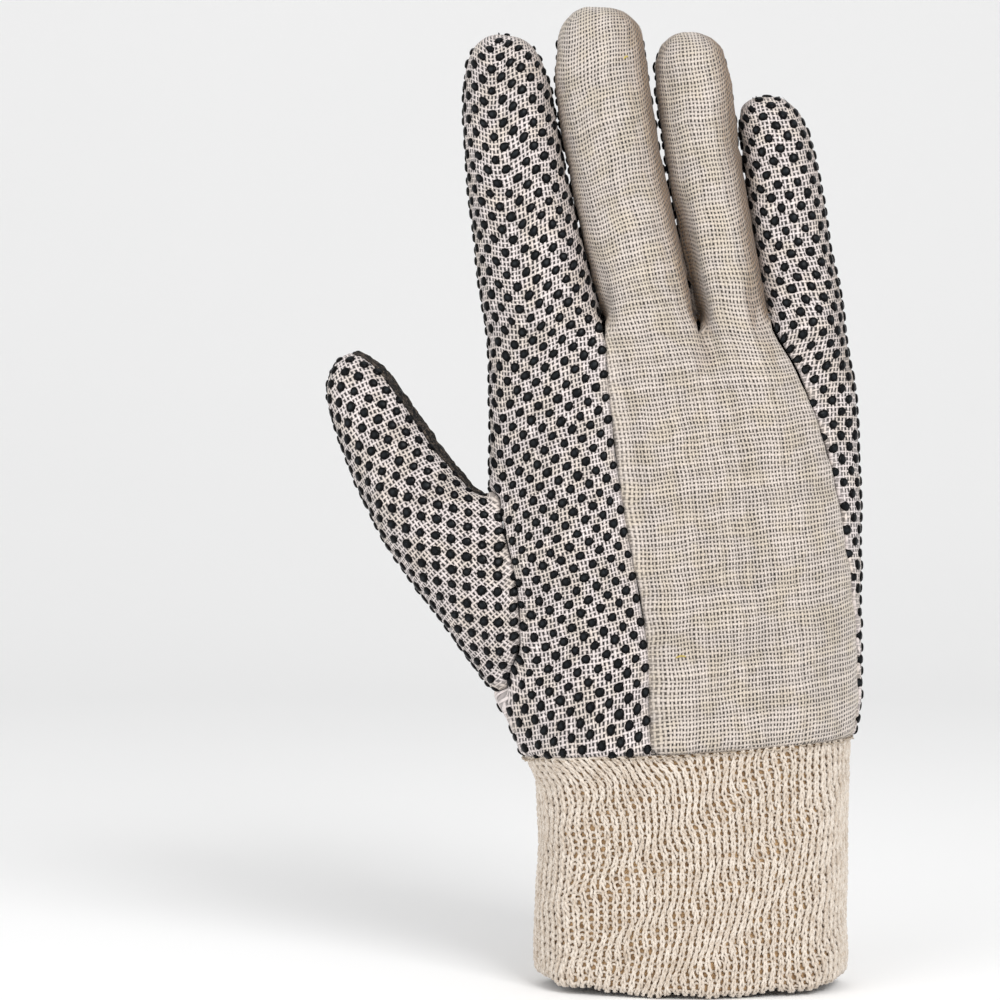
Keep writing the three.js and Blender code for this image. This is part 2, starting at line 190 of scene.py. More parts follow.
def oval(centre_x, centre_y, half_x, half_y, angle, roundness):
    """A point of an oval that is squarer than an ellipse where its roundness is over 2."""
    c, s = math.cos(math.radians(angle)), math.sin(math.radians(angle))
    power = 2 / roundness
    x = centre_x + half_x * math.copysign(abs(c) ** power, c)
    return x, centre_y + half_y * math.copysign(abs(s) ** power, s)


def angle_at(x, centre_x, half_x):
    """The angle at which the back half of the hand's oval has this x."""
    reach = min(abs(x - centre_x) / half_x, 1) ** (HAND_ROUNDNESS / 2)
    turn = math.degrees(math.acos(reach))
    return 180 + turn if x < centre_x else 360 - turn


def seam_height(x):
    return CUFF_HEIGHT + SEAM_RISE * (x / CUFF_WIDTH)


def rim_height(x):
    return RIM_RISE * np.minimum(1, np.abs(x) / (CUFF_WIDTH / 2)) ** 3


FORK_EDGES = finger_edges(0)


def hand_angles(row, centre_x, half_x):
    """The angle of each column of one row of the hand."""
    left, right = centre_x - half_x, centre_x + half_x
    span = FORK_EDGES[4] - FORK_EDGES[0]
    forks = [(FORK_EDGES[i] - FORK_EDGES[0]) / span for i in (1, 2, 3)]
    shares = [
        lerp(forks[0], 1, row["index"]),
        lerp(forks[1], 1, (row["index"] + row["little"] * forks[0]) / 2),
        lerp(forks[2], 1, row["little"]),
    ]
    back = [angle_at(lerp(left, right, s), centre_x, half_x) for s in shares]
    palm = [720 - angle_at(lerp(left, right, s), centre_x, half_x) for s in forks]
    keys = [
        (0, 180),
        (THUMB_COLUMNS, 180 + row["thumb"]),
        (BACK_FORKS[0], back[0]),
        (BACK_FORKS[1], back[1]),
        (BACK_FORKS[2], back[2]),
        (LITTLE_SIDE, 360 + row["turn"]),
        (PALM_FORKS[2], palm[2]),
        (PALM_FORKS[1], palm[1]),
        (PALM_FORKS[0], palm[0]),
        (COLUMNS - THUMB_COLUMNS, 540 - row["thumb"]),
        (COLUMNS, 540),
    ]
    angles = []
    for (start, low), (end, high) in zip(keys, keys[1:]):
        angles += [lerp(low, high, (j - start) / (end - start)) for j in range(start, end)]
    return angles


def finger_columns(number):
    """The hand's columns that run into a finger, each with its place round the finger's ring."""
    back_from = 0 if number == 0 else BACK_FORKS[number - 1]
    back_to = LITTLE_SIDE if number == 3 else BACK_FORKS[number]
    palm_from = LITTLE_SIDE + 1 if number == 3 else PALM_FORKS[number]
    palm_to = COLUMNS - 1 if number == 0 else PALM_FORKS[number - 1]
    shift = COLUMNS_PER_FINGER * number
    pairs = [(j, j - shift) for j in range(back_from, back_to + 1)]
    return pairs + [(j, j - (COLUMNS - RING_POINTS) + shift) for j in range(palm_from, palm_to + 1)]


class ClothCage:
    """The glove's cloth as one coarse surface of rows and columns, in millimetres."""

    def __init__(self):
        self.points = []
        self.faces = []
        self.parts = []
        self.flat = []
        self.cuts = []
        self.fork_form = self.make_fork_form()
        self.hand = [self.hand_loop(row) for row in HAND_ROWS]
        palm_last = COLUMNS + BACK_FORKS[0]
        self.palm_flat = self.lay_hand_flat(BACK_FORKS[2], MIDDLE_FORK_PALM, palm_last)
        self.straighten_strip(palm_last)
        self.back_flat = self.skew_back(self.lay_hand_flat(*BACK_FORKS))
        self.add_hand_faces()
        self.webs = [self.add_web(fork) for fork in range(3)]
        for number in range(4):
            self.add_finger(number)
        self.add_thumb()

    def add_point(self, x, y, z):
        self.points.append((x, y, z))
        return len(self.points) - 1

    def add_face(self, piece, corners, flat=None, part=0):
        """A face, with the place of each corner on the piece's flat pattern. Its part is 0 for
        the hand and the thumb, and 1 to 4 for the fingers."""
        self.faces.append((piece, tuple(corners)))
        self.parts.append(part)
        self.flat.append(flat or [(0.0, 0.0)] * len(corners))

    def gap(self, a, b):
        return math.dist(self.points[a], self.points[b])

    def lay_row(self, ring, first, middle, last, start=0.0):
        """One row's places across the pattern, laid flat both ways from its middle column."""
        count = len(ring)
        across = {middle: start}
        for j in range(middle, last):
            across[j + 1] = across[j] + self.gap(ring[j % count], ring[(j + 1) % count])
        for j in range(middle, first, -1):
            across[j - 1] = across[j] - self.gap(ring[j % count], ring[(j - 1) % count])
        return across

    def lay_hand_flat(self, first, middle, last):
        """The hand's rows laid flat: along each row from its middle column, and up each column."""
        flat = {}
        up = {}
        for i, loop in enumerate(self.hand):
            across = self.lay_row(loop, first, middle, last)
            for j in range(first, last + 1):
                if i == 0:
                    up[j] = self.points[loop[j % COLUMNS]][2]
                else:
                    up[j] += self.gap(loop[j % COLUMNS], self.hand[i - 1][j % COLUMNS])
                flat[i, j] = (across[j], up[j])
        return flat

    def straighten_strip(self, edge):
        """Lets the grain of the palm's cloth follow its edge at the back's seam, on the strip
        behind the thumb, where the weft also rises towards the back."""
        flat = self.palm_flat
        top_row = len(self.hand) - 1
        lean = [flat[i, edge][0] - flat[top_row, edge][0] for i in range(top_row + 1)]
        for (i, j), (u, v) in list(flat.items()):
            share = min(1.0, max(0.0, (j - COLUMNS + THUMB_COLUMNS) / (2 * THUMB_COLUMNS)))
            rise = STRIP_SKEW * max(0.0, u - flat[i, COLUMNS][0]) if j > COLUMNS else 0.0
            flat[i, j] = (u - lean[i] * share, v - rise)

    def skew_back(self, flat):
        """The back's weft rises towards the little finger, and more so near it."""
        even, more = BACK_SKEW
        return {key: (u, v - even * u - more * max(0.0, u) ** 2) for key, (u, v) in flat.items()}

    def cut(self, path):
        self.cuts += list(zip(path, path[1:]))

    def make_fork_form(self):
        sums = np.zeros((COLUMNS, 3))
        for number in range(4):
            left, right = FORK_EDGES[number], FORK_EDGES[number + 1]
            middle, half_x = (left + right) / 2, (right - left) / 2
            for j, place in finger_columns(number):
                angle = 180 + place * 360 / RING_POINTS
                x, y = oval(middle, 0, half_x, FORK_DEPTH / 2, angle, FINGER_ROUNDNESS)
                sums[j] += (x, y, 1)
        return sums[:, :2] / sums[:, 2:]

    def hand_loop(self, row):
        left, right = FORK_EDGES[0] * row["left"], FORK_EDGES[4] * row["right"]
        centre_x, half_x = (left + right) / 2, (right - left) / 2
        half_y = lerp(CUFF_DEPTH, FORK_DEPTH, row["deep"]) / 2
        slope = max(0, 1 - row["up"] / HAND_ROWS[HOLE_LOW]["up"])
        loop = []
        for j, angle in enumerate(hand_angles(row, centre_x, half_x)):
            side = row["back"] if angle < 360 else row["palm"]
            own = oval(centre_x, 0, half_x, half_y * side, angle, HAND_ROUNDNESS)
            sunk = row["crease"] * CREASE_DEPTH if j == PALM_FORKS[1] else 0
            x = lerp(own[0], self.fork_form[j][0], row["form"] ** 2)
            y = lerp(own[1], self.fork_form[j][1], row["form"]) - sunk
            z = CUFF_HEIGHT + HAND_HEIGHT * row["up"] + slope * (seam_height(x) - CUFF_HEIGHT)
            loop.append(self.add_point(x, y, z))
        return loop

    def add_hand_faces(self):
        for i in range(len(self.hand) - 1):
            for j in range(COLUMNS):
                if HOLE_LOW <= i < HOLE_HIGH and (j < THUMB_COLUMNS or j >= COLUMNS - THUMB_COLUMNS):
                    continue
                piece = BACK if BACK_FORKS[0] <= j < BACK_FORKS[2] else PALM
                k = (j + 1) % COLUMNS
                low, high = self.hand[i], self.hand[i + 1]
                flat = self.back_flat if piece == BACK else self.palm_flat
                n = j + COLUMNS if piece == PALM and j < BACK_FORKS[0] else j
                places = [flat[i, n], flat[i, n + 1], flat[i + 1, n + 1], flat[i + 1, n]]
                self.add_face(piece, (low[j], low[k], high[k], high[j]), places)

    def add_web(self, fork):
        back = self.hand[-1][BACK_FORKS[fork]]
        palm = self.hand[-1][PALM_FORKS[fork]]
        a, b = self.points[back], self.points[palm]
        web = []
        for share in (0.25, 0.5, 0.75):
            rise = FORK_RISE * math.sin(math.pi * share)
            web.append(self.add_point(lerp(a[0], b[0], share), lerp(a[1], b[1], share), FORK_HEIGHT + rise))
        self.cut([back, *web, palm])
        return web

    def root_loop(self, number):
        loop = [None] * RING_POINTS
        for j, place in finger_columns(number):
            loop[place % RING_POINTS] = self.hand[-1][j]
        if number > 0:
            loop[1], loop[0], loop[-1] = self.webs[number - 1]
        if number < 3:
            loop[HALF_RING - 1 : HALF_RING + 2] = self.webs[number]
        return loop

    def add_finger(self, number):
        _, _, length, depth = FINGERS[number]
        rings = [self.root_loop(number)]
        for along, full in FINGER_ROWS:
            edges = finger_edges(length * along)
            left, right = edges[number], edges[number + 1]
            middle, curl = (left + right) / 2, FINGER_CURL * along**2
            apart = lerp(FINGER_OVERLAP, FINGER_GAP, smoothstep(0.3, 0.9, along))
            half_x = (right - left - apart) / 2 * full
            half_y = lerp(FORK_DEPTH, depth, min(1, along * 4)) / 2 * full
            ring = []
            for m in range(RING_POINTS):
                angle = 180 + m * 360 / RING_POINTS
                x, y = oval(middle, curl, half_x, half_y, angle, FINGER_ROUNDNESS)
                ring.append(self.add_point(x + stray(number, along), y, FORK_HEIGHT + length * along))
            rings.append(ring)
        edges = finger_edges(length)
        middle = (edges[number] + edges[number + 1]) / 2 + stray(number, 1.0)
        pole = self.add_point(middle, FINGER_CURL, FORK_HEIGHT + length)
        if number == 0:
            self.add_finger_cloth(number, rings, pole, PALM, HALF_RING, HALF_RING + RING_POINTS)
            self.cut([ring[HALF_RING] for ring in rings] + [pole])
            self.cut([ring[0] for ring in rings[-DOME_RINGS - 1 :]] + [pole])
        elif number == 3:
            self.add_finger_cloth(number, rings, pole, PALM, 0, RING_POINTS)
            self.cut([ring[0] for ring in rings] + [pole])
            self.cut([ring[HALF_RING] for ring in rings[-DOME_RINGS - 1 :]] + [pole])
        else:
            self.add_finger_cloth(number, rings, pole, BACK, 0, HALF_RING)
            self.add_finger_cloth(number, rings, pole, PALM, HALF_RING, RING_POINTS)

    def root_flat(self, number, piece, ring, first, last):
        """The flat pattern along a finger's root. The web's points lie beside the hand's."""
        places = {}
        shift = COLUMNS_PER_FINGER * number
        hand_flat = self.back_flat if piece == BACK else self.palm_flat
        for q in range(first, last + 1):
            place = q % RING_POINTS
            if self.hand[-1][(place + shift) % COLUMNS] == ring[place]:
                j = place + shift
            elif self.hand[-1][(place + COLUMNS - RING_POINTS - shift) % COLUMNS] == ring[place]:
                j = place + COLUMNS - RING_POINTS - shift
            else:
                continue
            if piece == PALM and j <= BACK_FORKS[0]:
                j += COLUMNS
            places[q] = hand_flat[len(self.hand) - 1, j]
        known = sorted(places)
        for q in range(known[0] - 1, first - 1, -1):
            u, v = places[q + 1]
            places[q] = (u - self.gap(ring[q % RING_POINTS], ring[(q + 1) % RING_POINTS]), v)
        for q in range(known[-1] + 1, last + 1):
            u, v = places[q - 1]
            places[q] = (u + self.gap(ring[q % RING_POINTS], ring[(q - 1) % RING_POINTS]), v)
        return places

    def add_finger_cloth(self, number, rings, pole, piece, first, last):
        """A finger's cloth from place first to last, laid flat along its middle. At the tip each
        half of the finger narrows round its own middle, as the cut cloth does."""
        spine = (first + last) // 2
        flat = [self.root_flat(number, piece, rings[0], first, last)]
        dome = len(rings) - DOME_RINGS
        middle_u = flat[0][spine][0]

        def leaned(k, place):
            """A place of ring k with the weft's rise across the finger."""
            u, v = place[0] - middle_u, place[1]
            if piece == BACK:
                even, less = BACK_FINGER_SKEW
                return (place[0], v - min(1.0, k / 3) * (even * u - less * u * u))
            if number == 0 and k > 0:
                return (place[0], v + STRIP_SKEW * k / len(rings) * max(0.0, u))
            return place

        for k in range(1, dome):
            ring, under, below = rings[k], rings[k - 1], flat[-1]
            row = {}
            for q, u in self.lay_row(ring, first, spine, last, middle_u).items():
                row[q] = (u, below[q][1] + self.gap(ring[q % RING_POINTS], under[q % RING_POINTS]))
            flat.append(row)
        for low in range(first, last, HALF_RING):
            high, middle = low + HALF_RING, low + HALF_RING // 2
            lobe = flat + self.lay_tip(rings, flat[-1], low, middle, high)
            for k in range(len(rings) - 1):
                for q in range(low, high):
                    a, b = q % RING_POINTS, (q + 1) % RING_POINTS
                    places = [leaned(k, lobe[k][q]), leaned(k, lobe[k][q + 1])]
                    places += [leaned(k + 1, lobe[k + 1][q + 1]), leaned(k + 1, lobe[k + 1][q])]
                    corners = (rings[k][a], rings[k][b], rings[k + 1][b], rings[k + 1][a])
                    self.add_face(piece, corners, places, number + 1)
            last_row = lobe[-1]
            length = self.gap(rings[-1][middle % RING_POINTS], pole)
            tip = (last_row[middle][0], last_row[middle][1] + length)
            for q in range(low, high):
                corners = (rings[-1][q % RING_POINTS], rings[-1][(q + 1) % RING_POINTS], pole)
                places = [leaned(len(rings) - 1, place) for place in (last_row[q], last_row[q + 1], tip)]
                self.add_face(piece, corners, places, number + 1)

    def lay_tip(self, rings, below, low, middle, high):
        """The rows of one half of a fingertip, laid flat above the row below them."""
        rows = []
        for k in range(len(rings) - DOME_RINGS, len(rings)):
            ring, under = rings[k], rings[k - 1]
            places = {}
            for q, u in self.lay_row(ring, low, middle, high, below[middle][0]).items():
                length = self.gap(ring[q % RING_POINTS], under[q % RING_POINTS])
                rise = length**2 - (u - below[q][0]) ** 2
                places[q] = (u, below[q][1] + math.sqrt(max(rise, (0.25 * length) ** 2)))
            rows.append(places)
            below = places
        return rows

    def thumb_hole_loop(self):
        across = [j % COLUMNS for j in range(THUMB_COLUMNS, -THUMB_COLUMNS, -1)]
        loop = [self.hand[HOLE_HIGH][j] for j in across]
        loop += [self.hand[i][COLUMNS - THUMB_COLUMNS] for i in range(HOLE_HIGH, HOLE_LOW, -1)]
        loop.append(self.hand[HOLE_LOW][COLUMNS - THUMB_COLUMNS])
        loop += [self.hand[HOLE_LOW][j] for j in across[::-1][:-1]]
        return loop + [self.hand[i][THUMB_COLUMNS] for i in range(HOLE_LOW, HOLE_HIGH)]

    def add_thumb(self):
        hole = self.thumb_hole_loop()
        count = len(hole)
        centre = np.mean([self.points[n] for n in hole], axis=0)
        tip = np.array((OUTER_EDGE - THUMB_REACH, THUMB_FORWARD, CUFF_HEIGHT + THUMB_HEIGHT))
        bend = centre + (tip - centre) * THUMB_BEND

        def ring_at(along, wide, deep_share):
            middle = (1 - along) ** 2 * centre + 2 * along * (1 - along) * bend + along**2 * tip
            way = 2 * (1 - along) * (bend - centre) + 2 * along * (tip - bend)
            way /= np.linalg.norm(way)
            across = np.cross((0, 1, 0), way)
            across /= np.linalg.norm(across)
            deep = np.cross(way, across)
            ring = []
            for i in range(count):
                angle = 90 - (i - THUMB_COLUMNS) * 360 / count
                half_x, half_y = THUMB_DEPTH / 2 * deep_share, THUMB_WIDTH / 2 * wide
                x, y = oval(0, 0, half_x, half_y, angle, FINGER_ROUNDNESS)
                ring.append(middle + deep * x + across * y)
            return ring

        below = hole
        rings = [hole]

        def join(positions):
            nonlocal below
            ring = [self.add_point(*p) for p in positions]
            for i in range(count):
                k = (i + 1) % count
                self.add_face(THUMB, (below[i], below[k], ring[k], ring[i]))
            below = ring
            rings.append(ring)

        first = ring_at(*THUMB_ROWS[0])
        for step in range(1, THUMB_STEPS):
            join([lerp(np.array(self.points[n]), first[i], step / THUMB_STEPS) for i, n in enumerate(hole)])
        for row in THUMB_ROWS:
            join(ring_at(*row))
        pole = self.add_point(*tip)
        for i in range(count):
            self.add_face(THUMB, (below[i], below[(i + 1) % count], pole))
        self.thumb_seam = [ring[THUMB_COLUMNS] for ring in rings] + [pole]
        self.cut(self.thumb_seam)
        opposite = THUMB_COLUMNS + count // 2
        self.cut([ring[opposite] for ring in rings[-DOME_RINGS:]] + [pole])


# Small helpers for objects
def deselect():
    for piece in bpy.context.selected_objects:
        piece.select_set(False)


def make_active(piece):
    deselect()
    piece.select_set(True)
    bpy.context.view_layer.objects.active = piece


def link_mesh(name, mesh):
    piece = bpy.data.objects.new(name, mesh)
    scene.collection.objects.link(piece)
    return piece


def mesh_object(name, points, faces, material=None):
    """A smooth object from points in millimetres."""
    mesh = bpy.data.meshes.new(name)
    mesh.from_pydata((np.asarray(points, float) * MM).tolist(), [], faces)
    mesh.validate()
    mesh.shade_smooth()
    if material:
        mesh.materials.append(material)
    return link_mesh(name, mesh)


def quad_object(name, points, quads, material):
    """As mesh_object, for a large number of quads in an array."""
    mesh = bpy.data.meshes.new(name)
    mesh.vertices.add(len(points))
    mesh.vertices.foreach_set("co", (np.asarray(points) * MM).astype(np.float32).ravel())
    mesh.loops.add(quads.size)
    mesh.loops.foreach_set("vertex_index", quads.astype(np.int32).ravel())
    mesh.polygons.add(len(quads))
    mesh.polygons.foreach_set("loop_start", np.arange(0, quads.size, 4, dtype=np.int32))
    mesh.update(calc_edges=True)
    mesh.validate()
    mesh.shade_smooth()
    mesh.materials.append(material)
    return link_mesh(name, mesh)


def write_attribute(mesh, name, values):
    """A number for each point of a mesh, which its material reads."""
    attribute = mesh.attributes.new(name, "FLOAT", "POINT")
    attribute.data.foreach_set("value", np.array(values, np.float32))


def search_tree(mesh):
    """A mesh in millimetres, in which points and rays are looked up."""
    faces = [tuple(face.vertices) for face in mesh.polygons]
    return BVHTree.FromPolygons([v.co / MM for v in mesh.vertices], faces)


def unit_rows(ways):
    """The same directions, each with a length of one."""
    return ways / np.linalg.norm(ways, axis=-1)[..., None]


def apply_modifier(piece, kind, **settings):
    make_active(piece)
    modifier = piece.modifiers.new(kind.lower(), kind)
    for key, value in settings.items():
        setattr(modifier, key, value)
    bpy.ops.object.modifier_apply(modifier=modifier.name)


# Node materials
class Shading:
    """The nodes of one material, with short calls for the sums that a weave needs."""

    def __init__(self, name, roughness, sheen=0.0):
        self.material = bpy.data.materials.new(name)
        self.material.use_nodes = True
        self.tree = self.material.node_tree
        self.shader = self.tree.nodes["Principled BSDF"]
        self.shader.inputs["Roughness"].default_value = roughness
        if sheen:
            self.shader.inputs["Sheen Weight"].default_value = sheen
            self.shader.inputs["Sheen Roughness"].default_value = 0.6

    def node(self, kind, **settings):
        made = self.tree.nodes.new(kind)
        for key, value in settings.items():
            setattr(made, key, value)
        return made

    def feed(self, socket, value):
        if isinstance(value, bpy.types.NodeSocket):
            self.tree.links.new(value, socket)
        else:
            socket.default_value = value

    def sum(self, operation, *values):
        made = self.node("ShaderNodeMath", operation=operation)
        for socket, value in zip(made.inputs, values):
            self.feed(socket, value)
        return made.outputs[0]

    def scaled(self, value, slope, start):
        return self.sum("MULTIPLY_ADD", value, slope, start)

    def point(self, x, y, z=0.0):
        made = self.node("ShaderNodeCombineXYZ")
        for socket, value in zip(made.inputs, (x, y, z)):
            self.feed(socket, value)
        return made.outputs[0]

    def mottle(self, vector, scale, detail=2.0, roughness=0.5):
        made = self.node("ShaderNodeTexNoise")
        self.feed(made.inputs["Vector"], vector)
        made.inputs["Scale"].default_value = scale
        made.inputs["Detail"].default_value = detail
        made.inputs["Roughness"].default_value = roughness
        return made.outputs["Fac"]

    def chance(self, value, seed):
        """A number from 0 to 1 that is drawn anew for each whole value."""
        made = self.node("ShaderNodeTexWhiteNoise", noise_dimensions="2D")
        self.feed(made.inputs["Vector"], self.point(value, seed))
        return made.outputs["Value"]

    def blend(self, share, first, second, kind="MIX"):
        made = self.node("ShaderNodeMix", data_type="RGBA", blend_type=kind)
        self.feed(made.inputs[0], share)
        self.feed(made.inputs[6], first)
        self.feed(made.inputs[7], second)
        return made.outputs[2]

    def ramp(self, value, low, high):
        made = self.node("ShaderNodeMapRange", interpolation_type="SMOOTHSTEP")
        for socket, number in zip(made.inputs, (value, low, high, 0.0, 1.0)):
            self.feed(socket, number)
        return made.outputs[0]

    def attribute(self, name):
        return self.node("ShaderNodeAttribute", attribute_name=name).outputs["Fac"]

    def relief(self, height, distance, strength):
        made = self.node("ShaderNodeBump")
        made.inputs["Distance"].default_value = distance
        made.inputs["Strength"].default_value = strength
        self.feed(made.inputs["Height"], height)
        self.feed(self.shader.inputs["Normal"], made.outputs[0])


def rgb(red, green, blue):
    """A linear colour from the eight-bit values that a screen shows."""
    linear = [((c / 255 + 0.055) / 1.055) ** 2.4 if c > 10 else c / 255 / 12.92 for c in (red, green, blue)]
    return (*linear, 1.0)


def yarn_system(cloth, place, other, seed, cover, spread):
    """The parallel yarns of one direction: their rounded height, and the luck of each. A yarn
    covers a share of its pitch, and its width spreads from yarn to yarn and along it."""
    number = cloth.sum("FLOOR", place)
    luck = cloth.chance(number, seed)
    own_place = cloth.point(cloth.sum("MULTIPLY", number, 3.7), cloth.sum("MULTIPLY", other, 0.3), seed)
    slub = cloth.mottle(own_place, 1.0, 2.0)
    width = cloth.scaled(luck, spread * 0.5, cover - spread / 4)
    width = cloth.sum("ADD", width, cloth.scaled(slub, spread * 2.8, -spread * 1.4))
    centred = cloth.sum("ADD", cloth.sum("FRACT", place), cloth.scaled(luck, -0.16, -0.42))
    ratio = cloth.sum("DIVIDE", centred, cloth.sum("MULTIPLY", width, 0.5))
    dome = cloth.sum("SUBTRACT", 1.0, cloth.sum("MULTIPLY", ratio, ratio))
    return cloth.sum("MAXIMUM", dome, 0.0), luck


def wandering(cloth, broad_place, fine_place, wander):
    """How far the yarns of one direction stray, in broad waves and in fine ones."""
    broad = cloth.scaled(cloth.mottle(broad_place, 0.09, 1.0), wander * 8, -wander * 4)
    fine = cloth.scaled(cloth.mottle(fine_place, 0.55, 1.0), wander, -wander / 2)
    return cloth.sum("ADD", broad, fine)


def woven_cotton(name, yarn, shade, gap, crease, pitches, covers, wander, spread):
    """A plain weave that follows the cloth's flat pattern, in millimetres: each yarn passes over
    one and under the next, and the gaps between them are painted dark, a painted shade for the
    glove's shadowed inside. The colours are those of a yarn, its sides in painted shade, a gap in
    painted shade and the painted shade in a crease between fingers."""
    cloth = Shading(name, 0.92, sheen=0.25)
    flat = cloth.node("ShaderNodeUVMap", uv_map="flat_pattern").outputs[0]
    split = cloth.node("ShaderNodeSeparateXYZ")
    cloth.feed(split.inputs[0], flat)
    u, v = split.outputs[0], split.outputs[1]
    stray_u = wandering(cloth, flat, flat, wander)
    stray_v = wandering(cloth, cloth.point(v, u, 7.0), cloth.point(v, u, 3.0), wander)
    across = cloth.sum("DIVIDE", cloth.sum("ADD", u, stray_u), pitches[0])
    along = cloth.sum("DIVIDE", cloth.sum("ADD", v, stray_v), pitches[1])
    warp, warp_luck = yarn_system(cloth, across, along, 11.0, covers[0], spread)
    weft, weft_luck = yarn_system(cloth, along, across, 23.0, covers[1], spread)
    wave_across = cloth.sum("SINE", cloth.sum("MULTIPLY", across, math.pi))
    wave_along = cloth.sum("SINE", cloth.sum("MULTIPLY", along, math.pi))
    over = cloth.sum("MULTIPLY", wave_across, wave_along)
    heights = []
    for dome, way in ((warp, 0.4), (weft, -0.4)):
        crown = cloth.sum("ADD", cloth.sum("SQRT", dome), cloth.scaled(over, way, 0.5))
        heights.append(cloth.sum("MULTIPLY", cloth.ramp(dome, 0.0, 0.3), crown))
    height = cloth.sum("MAXIMUM", *heights)

    fibre = cloth.mottle(flat, 5.0, 3.0, 0.7)
    tone = cloth.scaled(cloth.sum("ADD", warp_luck, weft_luck), 0.12, 0.84)
    cloudy = cloth.scaled(cloth.mottle(flat, 0.05, 3.0, 0.6), 0.24, 0.88)
    fuzzy = cloth.sum("MULTIPLY", cloudy, cloth.scaled(fibre, 0.5, 0.78))
    tone = cloth.sum("MULTIPLY", tone, fuzzy)
    # Painted shade: each yarn is coloured from the shade colour low on its sides to the yarn colour on its
    # crown.
    colour = cloth.blend(cloth.ramp(height, 0.45, 1.72), shade, yarn)
    colour = cloth.blend(1.0, colour, cloth.point(tone, tone, tone), "MULTIPLY")

    # Painted shade in the gaps: the dark gap colour stands for the glove's shadowed inside; some cells are
    # paler, and the closed weave hides the gaps.
    cell = cloth.chance(cloth.sum("FLOOR", across), cloth.sum("FLOOR", along))
    paler = cloth.sum("MULTIPLY", cloth.sum("MULTIPLY", cell, cell), 0.75)
    closed = cloth.sum("MULTIPLY", cloth.attribute("closed_weave"), 0.9)
    behind = cloth.blend(closed, cloth.blend(paler, gap, shade), cloth.blend(0.55, shade, yarn))
    colour = cloth.blend(cloth.ramp(height, 0.08, 0.5), behind, colour)
    warmth = cloth.ramp(cloth.mottle(cloth.point(v, u, 5.0), 0.16, 2.0), 0.4, 0.66)
    colour = cloth.blend(warmth, colour, rgb(248, 246, 237), "MULTIPLY")
    # Painted shade in the creases between the fingers: the colour is multiplied by the crease colour as far
    # as the crease attribute reaches.
    colour = cloth.blend(cloth.attribute("crease"), colour, crease, "MULTIPLY")
    cloth.feed(cloth.shader.inputs["Base Color"], colour)
    cloth.relief(cloth.scaled(fibre, 0.25, height), 0.0003, 0.9)
    return cloth.material


def knit_yarn(name, colour, dull, patches=90, sheen=0.3, low=0.3):
    """Soft cotton yarn with a little colour change from length to length."""
    yarn = Shading(name, 0.9, sheen=sheen)
    place = yarn.node("ShaderNodeTexCoord").outputs["Object"]
    broad = yarn.mottle(place, patches, 3.0, 0.6)
    fine = yarn.mottle(place, 2600, 2.0, 0.7)
    tone = yarn.ramp(yarn.scaled(fine, 0.5, yarn.sum("MULTIPLY", broad, 0.6)), low, 0.75)
    yarn.feed(yarn.shader.inputs["Base Color"], yarn.blend(tone, dull, colour))
    yarn.relief(fine, 0.00012, 0.7)
    return yarn.material


def grip_rubber(name):
    """Black dots, painted greyer and duller on top as a painted highlight, with a slightly uneven skin."""
    rubber = Shading(name, 0.42)
    rubber.shader.inputs["Specular IOR Level"].default_value = 0.09
    place = rubber.node("ShaderNodeTexCoord").outputs["Object"]
    broad = rubber.mottle(place, 260, 2.0, 0.5)
    fine = rubber.mottle(place, 1900, 3.0, 0.6)
    # Painted highlight: each dot is painted greyer towards its crown and black at its rim.
    top = rubber.blend(rubber.ramp(broad, 0.3, 0.7), rgb(20, 22, 25), rgb(36, 40, 43))
    colour = rubber.blend(rubber.ramp(rubber.attribute("crown"), 0.2, 1.0), rgb(3, 3, 4), top)
    rubber.feed(rubber.shader.inputs["Base Color"], colour)
    rubber.feed(rubber.shader.inputs["Roughness"], rubber.scaled(fine, 0.22, 0.2))
    rubber.relief(fine, 0.00008, 0.6)
    return rubber.material


# Each cloth's shade and gap colours are painted shade, and its crease colour is the painted shade between
# the fingers.
dotted_cotton = woven_cotton(
    "dotted cotton",
    yarn=rgb(220, 209, 206),
    shade=rgb(70, 62, 60),
    gap=rgb(12, 9, 8),
    crease=rgb(220, 214, 208),
    pitches=(1.04, 1.3),
    covers=(0.62, 0.44),
    wander=0.24,
    spread=0.14,
)
plain_cotton = woven_cotton(
    "plain cotton",
    yarn=rgb(203, 192, 183),
    shade=rgb(92, 80, 69),
    gap=rgb(18, 13, 8),
    crease=rgb(166, 136, 97),
    pitches=(0.86, 1.18),
    covers=(0.68, 0.58),
    wander=0.22,
    spread=0.2,
)
# Near-black strands along the thumb's top: partly the bunched cloth's squeezed black dots, partly painted
# shade where the thumb turns away.
seam_strand_and_shade = knit_yarn("bunched seam", rgb(96, 84, 74), rgb(3, 3, 3), patches=1000, sheen=0.0, low=0.5)
husk = knit_yarn("husk", rgb(204, 186, 92), rgb(150, 122, 58))
cuff_yarn = knit_yarn("cuff yarn", rgb(222, 212, 200), rgb(176, 158, 138), patches=420)
# The inner layer's yarn, painted darker and more ochre than the loops' yarn: a painted shade that shows in
# the holes between the loops.
cuff_lining_and_shade = knit_yarn("cuff lining yarn", rgb(204, 170, 126), rgb(96, 62, 34), patches=330)
grip_dots = grip_rubber("grip dots")
sewing_cotton = knit_yarn("sewing cotton", rgb(190, 176, 158), rgb(138, 120, 98))


